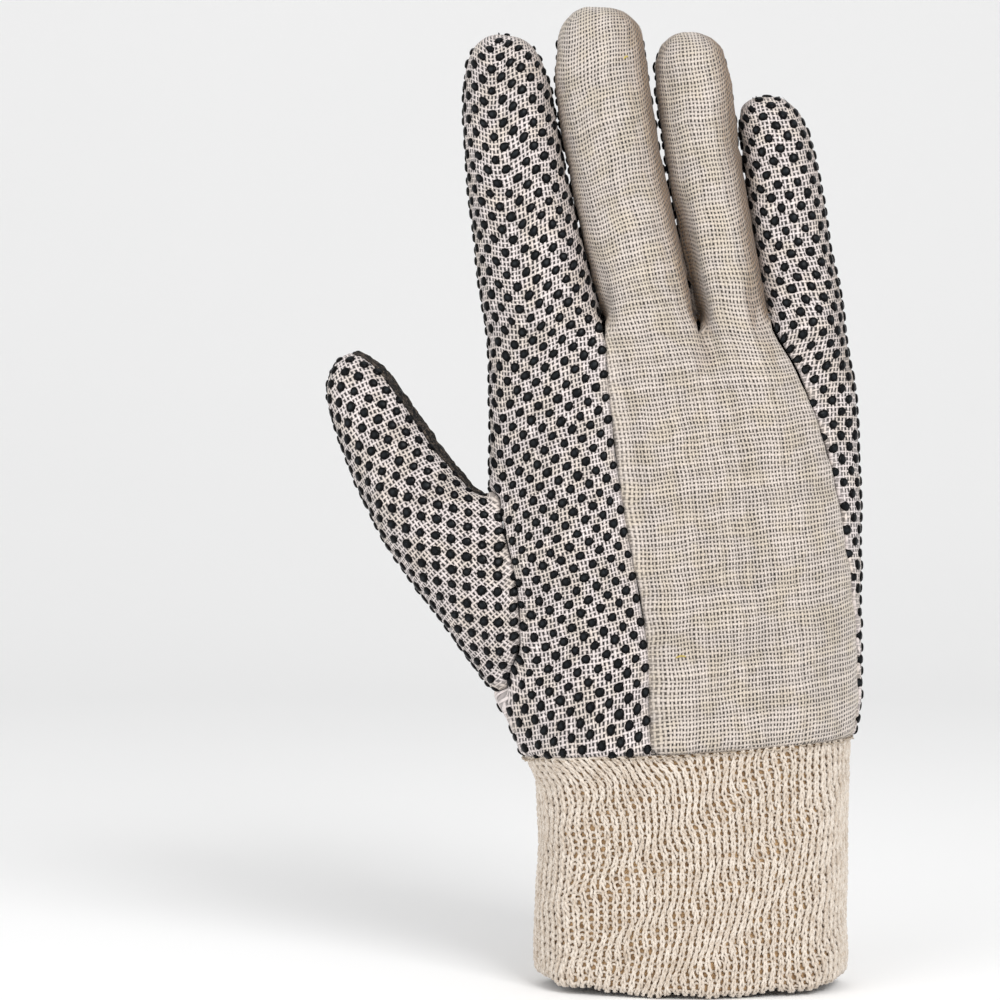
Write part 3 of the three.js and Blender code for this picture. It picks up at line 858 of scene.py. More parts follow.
# The cloth
def make_cloth_surface(cage):
    """The whole cloth as one smooth surface with its flat pattern as a UV map. Each face's
    material number tells its piece and its part."""
    surface = mesh_object("cloth_surface", cage.points, [corners for _, corners in cage.faces])
    mesh = surface.data
    marks = [piece + PIECE_COUNT * part for (piece, _), part in zip(cage.faces, cage.parts)]
    mesh.polygons.foreach_set("material_index", marks)
    for _ in range(PIECE_COUNT * (len(FINGERS) + 1)):
        mesh.materials.append(None)
    shaped = bmesh.new()
    shaped.from_mesh(mesh)
    shaped.verts.ensure_lookup_table()
    for edge in shaped.edges:
        if len({face.material_index % PIECE_COUNT for face in edge.link_faces}) > 1:
            edge.seam = True
    for a, b in cage.cuts:
        edge = shaped.edges.get((shaped.verts[a], shaped.verts[b]))
        if edge:
            edge.seam = True
    shaped.to_mesh(mesh)
    shaped.free()
    mesh.uv_layers.new(name="flat_pattern")
    make_active(surface)
    bpy.ops.object.mode_set(mode="EDIT")
    bpy.ops.mesh.select_all(action="SELECT")
    bpy.ops.uv.unwrap(
        method="MINIMUM_STRETCH", fill_holes=False, correct_aspect=False, margin=0.02, iterations=40
    )
    bpy.ops.object.mode_set(mode="OBJECT")
    lay_flat_pattern(mesh, cage)
    apply_modifier(surface, "SUBSURF", levels=2, render_levels=2)
    return surface


def corner_arrays(mesh):
    uv = np.zeros(len(mesh.loops) * 2, np.float32)
    mesh.uv_layers["flat_pattern"].data.foreach_get("uv", uv)
    corner = np.zeros(len(mesh.loops), np.int32)
    mesh.loops.foreach_get("vertex_index", corner)
    return uv.reshape(-1, 2).astype(float), corner


def positions(mesh):
    co = np.zeros(len(mesh.vertices) * 3, np.float32)
    mesh.vertices.foreach_get("co", co)
    return co.reshape(-1, 3).astype(float)


def lay_flat_pattern(mesh, cage):
    """The palm and back as the cage lays them, and the thumb's unwrapped pattern in millimetres
    with its grain along the thumb."""
    unwrapped, corner = corner_arrays(mesh)
    uv = np.array([place for places in cage.flat for place in places])
    co = positions(mesh) / MM
    way = np.array((OUTER_EDGE - THUMB_REACH - THUMB_ROOT[0], 0.0, THUMB_HEIGHT - THUMB_ROOT[1]))
    way /= np.linalg.norm(way)
    faces = [face for face in mesh.polygons if face.material_index % PIECE_COUNT == THUMB]
    loops = [i for face in faces for i in face.loop_indices]
    own = co[corner[loops]]
    shown = own[:, 1] < 0
    target = own @ np.array((way[2], 0, -way[0])) + 1j * (own @ way)
    flat = unwrapped[loops, 0] + 1j * unwrapped[loops, 1]
    a = flat[shown] - flat[shown].mean()
    b = target[shown] - target[shown].mean()
    turn = (np.conj(a) * b).sum() / (np.conj(a) * a).sum()
    real = sum(face.area for face in faces)
    spread = 0.0
    for face in faces:
        x, y = unwrapped[list(face.loop_indices)].T
        spread += abs(np.dot(x, np.roll(y, -1)) - np.dot(y, np.roll(x, -1))) / 2
    moved = (flat - flat[shown].mean()) * turn / abs(turn) * math.sqrt(real / spread) / MM
    uv[loops, 0] = moved.real
    uv[loops, 1] = moved.imag
    mesh.uv_layers["flat_pattern"].data.foreach_set("uv", uv.astype(np.float32).ravel())


def seam_points(mesh):
    """The points on the seams, as a search tree."""
    marked = mesh.attributes.get("uv_seam")
    count = len(mesh.edges)
    flags = np.zeros(count, bool)
    marked.data.foreach_get("value", flags)
    ends = np.zeros(count * 2, np.int32)
    mesh.edges.foreach_get("vertices", ends)
    co = positions(mesh) / MM
    chosen = co[np.unique(ends.reshape(-1, 2)[flags])]
    tree = KDTree(len(chosen))
    for i, p in enumerate(chosen):
        tree.insert(p, i)
    tree.balance()
    return tree


# The folds that show. Each has its side, -1 for the back of the hand and 1 for the palm, its line
# of (x, z) points, its depth and its half width.
FOLDS = [
    (-1, ((-3.7, 200), (-1.0, 186), (1.2, 175), (3.0, 166), (3.8, 157)), 1.7, 1.8),
    (-1, ((3.6, 158), (2.0, 146), (-1.0, 130)), 0.6, 3.2),
    (-1, ((-22.5, 178), (-22.0, 165)), 0.8, 1.6),
    (-1, ((14.0, 178), (17.0, 164)), 0.8, 1.6),
    (-1, ((-57, 118), (-49, 108), (-46, 98)), 0.9, 1.6),
    (-1, ((-52, 99), (-47, 88), (-45, 80)), 0.8, 1.5),
    (-1, ((-47, 74), (-43, 82)), 0.9, 1.3),
    (-1, ((-41, 71), (-38, 80)), 0.7, 1.2),
    (-1, ((-35, 68), (-33, 76)), 0.6, 1.2),
    (1, ((-34, 70), (-30, 96), (-22, 120)), 0.9, 2.6),
    (1, ((30, 150), (6, 142), (-22, 146)), 0.7, 1.8),
    (1, ((26, 136), (0, 128), (-20, 116)), 0.7, 2.0),
    (1, ((-46, 104), (-38, 96), (-34, 84)), 0.9, 1.5),
    (1, ((12, 66), (8, 82)), 0.6, 1.6),
    (1, ((-8, 64), (-10, 80)), 0.5, 1.6),
]

# How far the cloth lies off the form, its slack in broad and fine waves, and its puckers along
# the seams
CLOTH_LIFT = 0.15
BROAD_SLACK, FINE_SLACK = 0.55, 0.32
BROAD_PUCKER, FINE_PUCKER = 0.75, 0.3
# How far the seam allowance reaches behind the cloth, how far a finger's left and right flank
# close the weave, and the stretches between which a pull closes it
ALLOWANCE = 1.9
LEFT_FLANK, RIGHT_FLANK = 0.25, 0.75
PULL_LOW, PULL_HIGH = 1.4, 2.0
CLOTH_THICKNESS = 1.0


def fold_depth(p):
    """How far the folds sink the cloth at a point."""
    sunk = 0.0
    for side, line, depth, half_width in FOLDS:
        if p[1] * side < 1:
            continue
        best, share = 1e9, 0.0
        for k, ((x0, z0), (x1, z1)) in enumerate(zip(line, line[1:])):
            dx, dz = x1 - x0, z1 - z0
            t = max(0.0, min(1.0, ((p[0] - x0) * dx + (p[2] - z0) * dz) / (dx * dx + dz * dz)))
            gap = math.hypot(p[0] - x0 - t * dx, p[2] - z0 - t * dz)
            if gap < best:
                best, share = gap, (k + t) / (len(line) - 1)
        if best < half_width * 4:
            ends = min(1.0, share * 4, (1 - share) * 4)
            r = best / half_width
            sunk += depth * (0.35 + 0.65 * ends) * (math.exp(-r * r) - 0.28 * math.exp(-((r - 2.1) ** 2)))
    return sunk


def pattern_stretch(mesh):
    """How much longer the cloth is than its flat pattern, at each point of the mesh."""
    uv, corner = corner_arrays(mesh)
    co = positions(mesh) / MM
    following = np.arange(len(corner)) + 1
    for face in mesh.polygons:
        following[face.loop_start + face.loop_total - 1] = face.loop_start
    worn = np.linalg.norm(co[corner[following]] - co[corner], axis=1)
    flat = np.linalg.norm(uv[following] - uv, axis=1)
    ratio = np.minimum(worn / np.maximum(flat, 0.001), 6.0)
    most = np.zeros(len(co))
    np.maximum.at(most, corner, ratio)
    return most


def settle_cloth(surface):
    """Slack, puckers along the seams, and the folds. The seam allowance behind a seam, the turn
    of a finger's side and a pull close the weave's gaps, and an attribute says how far."""
    mesh = surface.data
    pulled = pattern_stretch(mesh)
    tree = seam_points(mesh)
    moved, closed = [], []
    for vertex in mesh.vertices:
        p = vertex.co / MM
        slack = noise.fractal(p * 0.055, 1.0, 2.0, 2, noise_basis="PERLIN_ORIGINAL") * BROAD_SLACK
        slack += noise.noise(Vector((p.x * 0.16, p.y * 0.16, p.z * 0.07)) + Vector((9, 3, 5))) * FINE_SLACK
        near, _, gap = tree.find(p)
        pucker = noise.noise(near * 0.24 + Vector((31, 7, 2))) * BROAD_PUCKER * math.exp(-gap / 3.4)
        pucker += noise.noise(near * 0.5 + Vector((3, 17, 11))) * FINE_PUCKER * math.exp(-gap / 1.8)
        hold = 1 - math.exp(-gap / 1.5)
        moved.append(p + vertex.normal * (CLOTH_LIFT + slack * hold + pucker - fold_depth(p)))
        allowance = math.exp(-((gap / ALLOWANCE) ** 2)) * (0.75 + 0.5 * noise.noise(near * 0.6))
        flank = RIGHT_FLANK if vertex.normal.x > 0 else LEFT_FLANK
        flank *= smoothstep(0.5, 0.1, abs(vertex.normal.y))
        pull = 0.95 * smoothstep(PULL_LOW, PULL_HIGH, pulled[vertex.index])
        closed.append(max(allowance, pull, flank))
    mesh.vertices.foreach_set("co", (np.array(moved) * MM).astype(np.float32).ravel())
    write_attribute(mesh, "closed_weave", closed)
    mesh.update()


# How the creases between the fingers are looked for: angles off the front to either side, each
# side's weight, and the reach. They start at a height near the forks.
CREASE_ANGLES = (12, 26, 40, 54, 68, 80)
CREASE_SIDES = ((-1, 1.0), (1, 0.12))
CREASE_REACH = 15
CREASE_START = 152


def shade_creases(surface):
    """Writes how deep each point lies in a crease between two fingers, where the cloth gets a
    painted shade, brown on the plain cloth, most of all on the left flank of a finger, which faces
    away from the key light."""
    mesh = surface.data
    tree = search_tree(mesh)
    ways = []
    for side, weight in CREASE_SIDES:
        for angle in map(math.radians, CREASE_ANGLES):
            way = Vector((side * math.sin(angle), -math.cos(angle), 0.0))
            ways.append((way, weight / len(CREASE_ANGLES)))
    depth = []
    for vertex in mesh.vertices:
        p = vertex.co / MM
        shut = 0.0
        if p.z > CREASE_START and p.y < 3:
            start = p + vertex.normal * 0.3
            for way, weight in ways:
                if way.dot(vertex.normal) <= 0 or tree.ray_cast(start, way, CREASE_REACH)[0] is not None:
                    shut += weight
        depth.append(smoothstep(0.12, 0.85, shut))
    # How deep the painted crease shade is at each point.
    write_attribute(mesh, "crease", depth)


# How far the cloth sinks at the seam itself, and at the two rows of points beside it
SEAM_SINK = (1.25, 0.6, 0.14)


def border_of(shaped):
    """The points on the cut edges."""
    return {v for edge in shaped.edges if edge.is_boundary for v in edge.verts}


def split_beside(shaped, border, share):
    """Divides the faces along the border, and returns the new row of points."""
    inner_edges = [edge for edge in shaped.edges if not edge.is_boundary]
    across = [edge for edge in inner_edges if (edge.verts[0] in border) != (edge.verts[1] in border)]
    row = []
    for edge in across:
        root = edge.verts[0] if edge.verts[0] in border else edge.verts[1]
        row.append(bmesh.utils.edge_split(edge, root, share)[1])
    bmesh.ops.connect_verts(shaped, verts=row)
    return row


def cut_piece(surface, piece, name, material):
    """One piece of cloth, rolled in along its cut edges, and the part of each of its faces."""
    mesh = surface.data.copy()
    mesh.name = name
    shaped = bmesh.new()
    shaped.from_mesh(mesh)
    gone = [face for face in shaped.faces if face.material_index % PIECE_COUNT != piece]
    bmesh.ops.delete(shaped, geom=gone, context="FACES")
    inner_cuts = [edge for edge in shaped.edges if edge.seam and len(edge.link_faces) == 2]
    bmesh.ops.split_edges(shaped, edges=inner_cuts)
    border = border_of(shaped)
    outer_row = split_beside(shaped, border, 0.55)
    inner_row = split_beside(shaped, border, 0.45)
    shaped.normal_update()
    rows = (border, inner_row, outer_row)
    shifts = [(v, v.normal * -sink * MM) for row, sink in zip(rows, SEAM_SINK) for v in row]
    for v, shift in shifts:
        v.co += shift
    shaped.to_mesh(mesh)
    shaped.free()
    parts = [face.material_index // PIECE_COUNT for face in mesh.polygons]
    mesh.materials.clear()
    mesh.materials.append(material)
    mesh.polygons.foreach_set("material_index", np.zeros(len(parts), np.int32))
    mesh.shade_smooth()
    return link_mesh(name, mesh), parts


class FlatPattern:
    """Takes a place on a piece's flat pattern to its place on the worn cloth. Fingers may overlap
    one another on the pattern, so each has a search tree of its own."""

    def __init__(self, piece, parts):
        mesh = piece.data
        mesh.calc_loop_triangles()
        self.uv, corner = corner_arrays(mesh)
        self.co = positions(mesh) / MM
        normals = np.zeros(len(mesh.vertices) * 3, np.float32)
        mesh.vertex_normals.foreach_get("vector", normals)
        self.normals = normals.reshape(-1, 3).astype(float)
        self.corners = [tuple(t.loops) for t in mesh.loop_triangles]
        self.vertices = [tuple(t.vertices) for t in mesh.loop_triangles]
        tri = self.uv[np.array(self.corners)]
        self.low, self.high = tri.reshape(-1, 2).min(0), tri.reshape(-1, 2).max(0)
        a, b = tri[:, 1] - tri[:, 0], tri[:, 2] - tri[:, 0]
        signed = (a[:, 0] * b[:, 1] - a[:, 1] * b[:, 0]) / 2
        self.area = float(np.abs(signed).sum())
        part = np.array([parts[t.polygon_index] for t in mesh.loop_triangles])
        upright = signed * np.sign(np.median(signed)) > 0.002
        self.own, self.joined = {}, {}
        for k in sorted(set(part)):
            self.own[k] = self.tree_of(upright & (part == k))
            self.joined[k] = self.tree_of(upright & ((part == k) | (part == 0)))

    def tree_of(self, chosen):
        """The chosen triangles of the pattern as a search tree, and their numbers."""
        rows = np.flatnonzero(chosen)
        flat = [(x, y, 0.0) for x, y in self.uv]
        return BVHTree.FromPolygons(flat, [self.corners[i] for i in rows]), rows

    def gap(self, u, v, part):
        """How far a place of the pattern lies outside one part."""
        return self.own[part][0].find_nearest((u, v, 0.0))[3]

    def parts_at(self, u, v, reach):
        """The parts on which a dot at this place of the pattern lies."""
        fingers = {k: self.gap(u, v, k) for k in self.own if k > 0}
        on = [k for k, gap in fingers.items() if gap < reach]
        if on:
            return on
        if self.gap(u, v, 0) < reach:
            return [min(fingers, key=fingers.get) if fingers else 0]
        return []

    def place(self, u, v, part):
        """The point on the worn cloth and its normal."""
        tree, rows = self.joined[part]
        near, _, index, _ = tree.find_nearest((u, v, 0.0))
        index = rows[index]
        (a, b, c), vertices = self.uv[list(self.corners[index])], list(self.vertices[index])
        x, y = b - a, c - a
        area = x[0] * y[1] - x[1] * y[0]
        p = np.array((near[0], near[1])) - a
        s = (p[0] * y[1] - p[1] * y[0]) / area
        t = (x[0] * p[1] - x[1] * p[0]) / area
        weights = np.array((1 - s - t, s, t))
        return weights @ self.co[vertices], weights @ self.normals[vertices]


# The grip dots: their size, the pattern's cell with a dot at its corner and one in its middle,
# and each dot's rings, as a rise and a change of width
DOT_RADIUS = 1.25
DOT_CELL = (5.15, 6.1)
DOT_ROOT = -0.3
DOT_RINGS = ((0.45, 1.0), (0.26, 0.84), (0.14, 0.62))
DOT_CROWN = 0.05
# How far the dots stray in place and size, and how far past the cloth's edge one may start
DOT_STRAY = 0.09
DOT_SPREAD = 0.05
DOT_MARGIN = 0.3
# Where a dot's width on the cloth is tried, so that it stays round where the pattern is stretched
DOT_RIM = tuple(math.radians(a) for a in range(0, 360, 45))
DOT_STRETCH = 1.15


def model_dot():
    """One dot, modelled round the origin: its points in millimetres and its faces."""
    bpy.ops.mesh.primitive_circle_add(vertices=10, radius=1.0, fill_type="NGON", location=(0, 0, DOT_ROOT))
    dot = bpy.context.active_object
    bpy.ops.object.transform_apply(location=True, rotation=False, scale=False)
    bpy.ops.object.mode_set(mode="EDIT")
    bpy.ops.mesh.select_all(action="SELECT")
    for rise, size in DOT_RINGS:
        bpy.ops.mesh.extrude_region_move(TRANSFORM_OT_translate={"value": (0, 0, rise)})
        bpy.ops.transform.resize(value=(size, size, 1), center_override=(0, 0, 0))
    bpy.ops.mesh.poke()
    bpy.ops.object.mode_set(mode="OBJECT")
    points = np.array([v.co for v in dot.data.vertices])
    # The operators leave the faces in an order that changes from run to run
    faces = sorted(tuple(face.vertices) for face in dot.data.polygons)
    centre = np.hypot(points[:, 0], points[:, 1]) < 1e-4
    points[centre & (points[:, 2] > 0), 2] += DOT_CROWN
    bpy.data.objects.remove(dot)
    return points, faces


DOT_POINTS, DOT_FACES = model_dot()


def dot_places(pattern, shift):
    """The dots' even places on a piece's pattern, with the part that each lies on."""
    reach = float(np.abs(np.concatenate((pattern.low, pattern.high))).max()) * 1.5
    columns, rows = int(reach / DOT_CELL[0]) + 1, int(reach / DOT_CELL[1]) + 1
    for i in range(-columns, columns + 1):
        for j in range(-rows, rows + 1):
            for half in (0.0, 0.5):
                u, v = (i + half) * DOT_CELL[0] + shift[0], (j + half) * DOT_CELL[1] + shift[1]
                for part in pattern.parts_at(u, v, DOT_MARGIN):
                    yield u, v, part


def place_dot(pattern, u, v, part, size, ragged):
    """One dot's points on the cloth, and how near each lies to its crown, which sets the dot's
    painted highlight. Where the pattern is stretched, the dot is drawn in."""
    centre = pattern.place(u, v, part)[0]
    reaches = []
    for angle in DOT_RIM:
        on_rim = pattern.place(u + size * math.cos(angle), v + size * math.sin(angle), part)[0]
        reaches.append(max(0.3, float(np.linalg.norm(on_rim - centre)) / size))
    points, crowns = [], []
    for x, y, z in DOT_POINTS:
        angle = math.atan2(y, x)
        stretch = np.interp(angle % (2 * math.pi), (*DOT_RIM, 2 * math.pi), (*reaches, reaches[0]))
        drawn_in = max(1.0, float(stretch) / DOT_STRETCH)
        x, y = x / drawn_in, y / drawn_in
        uneven = 1 + 0.06 * math.sin(2 * angle + ragged[0]) + 0.05 * math.sin(3 * angle + ragged[1])
        on_cloth, normal = pattern.place(u + x * size * uneven, v + y * size * uneven, part)
        points.append(on_cloth + normal * z)
        crowns.append(1.0 - math.hypot(x, y) if z > 0.3 else 0.0)
    return points, crowns


def print_dots(name, pattern, shift, seed):
    """The dots of one piece, set on the cloth's own grain."""
    rng = np.random.default_rng(seed)
    points, faces, crowns = [], [], []
    for u, v, part in dot_places(pattern, shift):
        u, v = u + rng.normal(0, DOT_STRAY), v + rng.normal(0, DOT_STRAY)
        size = DOT_RADIUS * rng.normal(1, DOT_SPREAD)
        own_points, own_crowns = place_dot(pattern, u, v, part, size, rng.uniform(0, 2 * math.pi, 2))
        faces += [tuple(len(points) + k for k in face) for face in DOT_FACES]
        points += own_points
        crowns += own_crowns
    dots = mesh_object(name, points, faces, grip_dots)
    # How near each point lies to its dot's crown, for the painted highlight.
    write_attribute(dots.data, "crown", crowns)
    return dots


# The knit cuff: its rim's fold, how far the inner layer rises, and how far down the loops run
RIM_FOLD = 1.25
INNER_RISE = 55
KNIT_TRAVEL = 70
LINING_THICKNESS = 0.5
LINING_DEPTH = 0.5
# The loops: wales round the cuff, courses down it, and the yarn. A loop swells to its heads
# across, reaches down and up, and swings out in its legs.
WALES = 90
COURSE = 1.8
FIRST_COURSE = 0.9
LOOP_SWELL = (0.42, 0.23)
LOOP_REACH = 1.45
LOOP_SWING = 0.36
# How far the loops differ: up and down, in size, across, and out
LOOP_UNEVEN, LOOP_TIGHT, LOOP_SLIP, LOOP_WAVER = 0.19, 0.14, 0.16, 0.07
# The yarn, which swells where the cuff turns away at its two edges and its loops lie packed
YARN_RADIUS = 0.35
PACKED_FROM, PACKED_OVER, PACKED_SWELL = 25, 10, 0.32
LOOP_STEPS = 14
TUBE_SIDES = 5


def smooth_between(table, place, periodic):
    """Catmull-Rom values between the rows of a table."""
    count = len(table)
    low = np.floor(place).astype(int)
    if not periodic:
        low = np.clip(low, 0, count - 2)
    t = (place - low)[:, None] if table.ndim == 2 else (place - low)[:, None, None]

    def row(k):
        return table[(low + k) % count] if periodic else table[np.clip(low + k, 0, count - 1)]

    a, b, c, d = row(-1), row(0), row(1), row(2)
    return 0.5 * (2 * b + (c - a) * t + (2 * a - 5 * b + 4 * c - d) * t**2 + (3 * b - a - 3 * c + d) * t**3)


class CuffForm:
    """The cuff's surface: down the outside, round the soft fold at its rim and up the inside."""

    columns = 480
    rows = 241

    def __init__(self, cage):
        first = HAND_ROWS[0]
        left, right = FORK_EDGES[0] * first["left"], FORK_EDGES[4] * first["right"]
        angles = hand_angles(first, (left + right) / 2, (right - left) / 2)
        loops = []
        for up, wide_left, wide_right, deep, flute_share in CUFF_ROWS:
            low, high = -CUFF_WIDTH / 2 * wide_left, CUFF_WIDTH / 2 * wide_right
            middle = (low + high) / 2
            loop = []
            for angle in angles:
                flute = FLUTE_DEPTH * flute_share * math.sin(math.radians(angle * FLUTE_COUNT))
                half_x, half_y = (high - low) / 2 + flute, CUFF_DEPTH / 2 * deep - CUFF_SHOULDER + flute
                x, y = oval(middle, 0, half_x, half_y, angle, FINGER_ROUNDNESS)
                loop.append((x, y, lerp(rim_height(x), seam_height(x), up)))
            loops.append(loop)
        top = []
        for n in cage.hand[0]:
            x, y, z = cage.points[n]
            shrink = 1 - (CUFF_SHOULDER + 0.25) / math.hypot(x, y)
            top.append((x * shrink, y * shrink, z))
        loops.append(top)
        coarse = np.array(loops)
        turn = np.linspace(0, COLUMNS, self.columns * 4, endpoint=False)
        dense = smooth_between(coarse.transpose(1, 0, 2), turn, True)
        middle = dense[:, 3]
        steps = np.linalg.norm(np.roll(middle, -1, 0) - middle, axis=1)
        length = np.concatenate(([0], np.cumsum(steps)))
        self.girth = float(length[-1])
        even = np.linspace(0, self.girth, self.columns, endpoint=False)
        column = np.interp(even, length, np.concatenate((turn, [COLUMNS])))
        self.loops = smooth_between(coarse.transpose(1, 0, 2), column, True).transpose(1, 0, 2)
        self.ups = np.array([row[0] for row in CUFF_ROWS] + [1.0])
        self.grid, self.normals = self.make_grid()

    def ring(self, up):
        """The outside's ring at a share of the cuff's height."""
        place = np.interp(up, self.ups, np.arange(len(self.ups)))
        return smooth_between(self.loops, np.array([place]), False)[0]

    def profile(self):
        """The surface's rows from the top seam down, round the rim and up inside."""
        start = RIM_FOLD / CUFF_HEIGHT
        rows = [(up, 0.0, 0.0) for up in np.linspace(1.0, start, 56)]
        for turn in np.linspace(0, math.pi, 8)[1:]:
            rows.append((start, RIM_FOLD * (1 - math.cos(turn)), -RIM_FOLD * math.sin(turn)))
        for rise in np.linspace(0, INNER_RISE, 40)[1:]:
            rows.append((start + rise / CUFF_HEIGHT, 2 * RIM_FOLD, 0.0))
        return rows

    def make_grid(self):
        """The surface as even rows of points, with a soft ripple at the rim, and its normals."""
        grid = []
        for up, inset, drop in self.profile():
            ring = self.ring(up)
            along = np.roll(ring, -1, 0) - np.roll(ring, 1, 0)
            inward = unit_rows(np.stack((-along[:, 1], along[:, 0], 0 * along[:, 0]), 1))
            row = ring + inward * inset
            row[:, 2] += drop
            grid.append(row)
        grid = np.array(grid)
        lengths = np.linalg.norm(np.diff(grid, axis=0), axis=2).mean(1)
        travel = np.concatenate(([0], np.cumsum(lengths)))
        self.travel = float(travel[-1])
        even = np.linspace(0, self.travel, self.rows)
        place = np.interp(even, travel, np.arange(len(grid)))
        grid = smooth_between(grid, place, False)
        around = np.arange(self.columns) / self.columns * 2 * math.pi
        ripple = 0.35 * np.sin(9 * around + 1) + 0.25 * np.sin(16 * around + 4) + 0.2 * np.sin(29 * around)
        grid[..., 2] += ripple * np.exp(-np.maximum(grid[..., 2], 0) / 9)
        du = np.roll(grid, -1, 1) - np.roll(grid, 1, 1)
        dv = np.gradient(grid, axis=0)
        return grid, unit_rows(np.cross(dv, du))

    def at(self, around, down, out):
        """Points at shares of the girth, millimetres down and millimetres out of the surface."""
        column = (around % 1.0) * self.columns
        row = np.clip(down / self.travel, 0, 1) * (self.rows - 1)
        c0, r0 = np.floor(column).astype(int), np.minimum(np.floor(row).astype(int), self.rows - 2)
        s, t = (column - c0)[..., None], (row - r0)[..., None]
        c0, c1 = c0 % self.columns, (c0 + 1) % self.columns

        def between(table):
            above = table[r0, c0] * (1 - s) + table[r0, c1] * s
            below = table[r0 + 1, c0] * (1 - s) + table[r0 + 1, c1] * s
            return above * (1 - t) + below * t

        ways = between(self.normals)
        return between(self.grid) + ways * out[..., None], ways


def tube_rings(path, ways, radius):
    """Points round a closed path of shape (n, 3), with a radius for each of its points."""
    along = unit_rows(np.roll(path, -1, 0) - np.roll(path, 1, 0))
    side = unit_rows(np.cross(along, ways))
    up = np.cross(side, along)
    rings = []
    for k in range(TUBE_SIDES):
        angle = 2 * math.pi * (k + 0.5) / TUBE_SIDES
        rings.append(path + (side * math.cos(angle) + up * math.sin(angle)) * radius[:, None])
    return np.stack(rings, 1)


# The thumb's pull on the wales: its place and width round the cuff, how far it moves them, and
# the way down in which it grows, then fades
PULL_PLACE, PULL_WIDTH = 0.13, 0.13
PULL_SHIFT, PULL_GROWTH = 6.5, 11
FADE_START, FADE_SLOPE = 24, 0.1
# The soft waves of the wales: size, length down the cuff, number round it and start
DRIFT_WAVES = ((0.8, 47, 2, 0.0), (0.45, 19, 7, 0.3), (0.22, 9.5, 13, 0.0))


def yarn_drift(share, down):
    """How far the wales run sideways: a strong lean under the thumb that fades down the cuff,
    and soft waves everywhere."""
    beside = (share - PULL_PLACE + 0.5) % 1.0 - 0.5
    shift = PULL_SHIFT * (1 - np.exp(-np.maximum(down, 0) / PULL_GROWTH))
    shift -= FADE_SLOPE * np.maximum(down - FADE_START, 0)
    drift = np.exp(-((beside / PULL_WIDTH) ** 2)) * shift
    for size, length, around, start in DRIFT_WAVES:
        drift += size * np.sin(2 * math.pi * (down / length + around * share + start))
    return drift


def ring_and_next(count):
    """The numbers round a closed ring, and for each the one that follows it."""
    ring = np.arange(count)
    return ring, (ring + 1) % count


def knit_courses(name, form, first, last, seed):
    """Courses of real loops: the legs stand in front, and the heads pass behind the next course."""
    points, quads = [], []
    rng = np.random.default_rng(seed)
    wale = form.girth / WALES
    t = np.arange(WALES * LOOP_STEPS) / LOOP_STEPS
    turn = 2 * math.pi * t
    ring, following = ring_and_next(len(t))

    def luck(middle, spread):
        """A number that changes from wale to wale."""
        return np.interp(t, np.arange(WALES + 1), rng.normal(middle, spread, WALES + 1))

    for course in range(first, last):
        uneven, tight, slip = luck(0, LOOP_UNEVEN), luck(1, LOOP_TIGHT), luck(0, LOOP_SLIP)
        swell = LOOP_SWELL[0] * tight * np.sin(2 * turn) + LOOP_SWELL[1] * np.sin(turn)
        across = t * wale + swell + slip
        down = FIRST_COURSE + course * COURSE - LOOP_REACH * tight * np.cos(turn) + uneven
        out = -LOOP_SWING * np.cos(2 * turn) + luck(0, LOOP_WAVER)
        share = across / form.girth
        path, ways = form.at(share + yarn_drift(share, down) / form.girth, down, out)
        packed = np.clip((np.abs(path[:, 0]) - PACKED_FROM) / PACKED_OVER, 0, 1)
        tube = tube_rings(path, ways, YARN_RADIUS * (1 + PACKED_SWELL * packed))
        base = len(points) * len(t)
        low, high = (base + ring) * TUBE_SIDES, (base + following) * TUBE_SIDES
        points.append(tube.reshape(-1, 3))
        for k, n in zip(*ring_and_next(TUBE_SIDES)):
            quads.append(np.stack((low + k, high + k, high + n, low + n), 1))
    return quad_object(name, np.concatenate(points), np.concatenate(quads), cuff_yarn)


def make_cuff_shell(form):
    """The knit as one sheet, folded double at the rim, just behind the loops. Its yarn is painted
    darker and more ochre than the loops', a painted shade in the holes between them.
    """
    count, steps = 200, 120
    around = np.arange(count) / count
    points, quads = [], []
    ring, following = ring_and_next(count)
    for i, down in enumerate(np.linspace(0.2, form.travel, steps)):
        points.append(form.at(around, np.full(count, down), np.full(count, -LINING_DEPTH))[0])
        if i > 0:
            above, row = (i - 1) * count, i * count
            quads.append(np.stack((above + ring, row + ring, row + following, above + following), 1))
    return quad_object("cuff_lining", np.concatenate(points), np.concatenate(quads), cuff_lining_and_shade)


# The threads
def thread_object(name, paths, radius, sides, material):
    """Round threads along lists of points in millimetres."""
    points, faces = [], []
    for path in paths:
        path = np.asarray(path, float)
        along = unit_rows(np.gradient(path, axis=0))
        side = unit_rows(np.cross(along, (0.2, 1.0, 0.3)))
        up = np.cross(side, along)
        base = len(points)
        for k, p in enumerate(path):
            thin = 0.45 if k in (0, len(path) - 1) else 1.0
            for m in range(sides):
                angle = 2 * math.pi * m / sides
                points.append(p + (side[k] * math.cos(angle) + up[k] * math.sin(angle)) * radius * thin)
        for k in range(len(path) - 1):
            for m in range(sides):
                n = (m + 1) % sides
                low, high = base + k * sides, base + (k + 1) * sides
                faces.append((low + m, high + m, high + n, low + n))
        last = base + (len(path) - 1) * sides
        faces.append(tuple(base + m for m in range(sides)))
        faces.append(tuple(last + m for m in reversed(range(sides))))
    return mesh_object(name, points, faces, material)


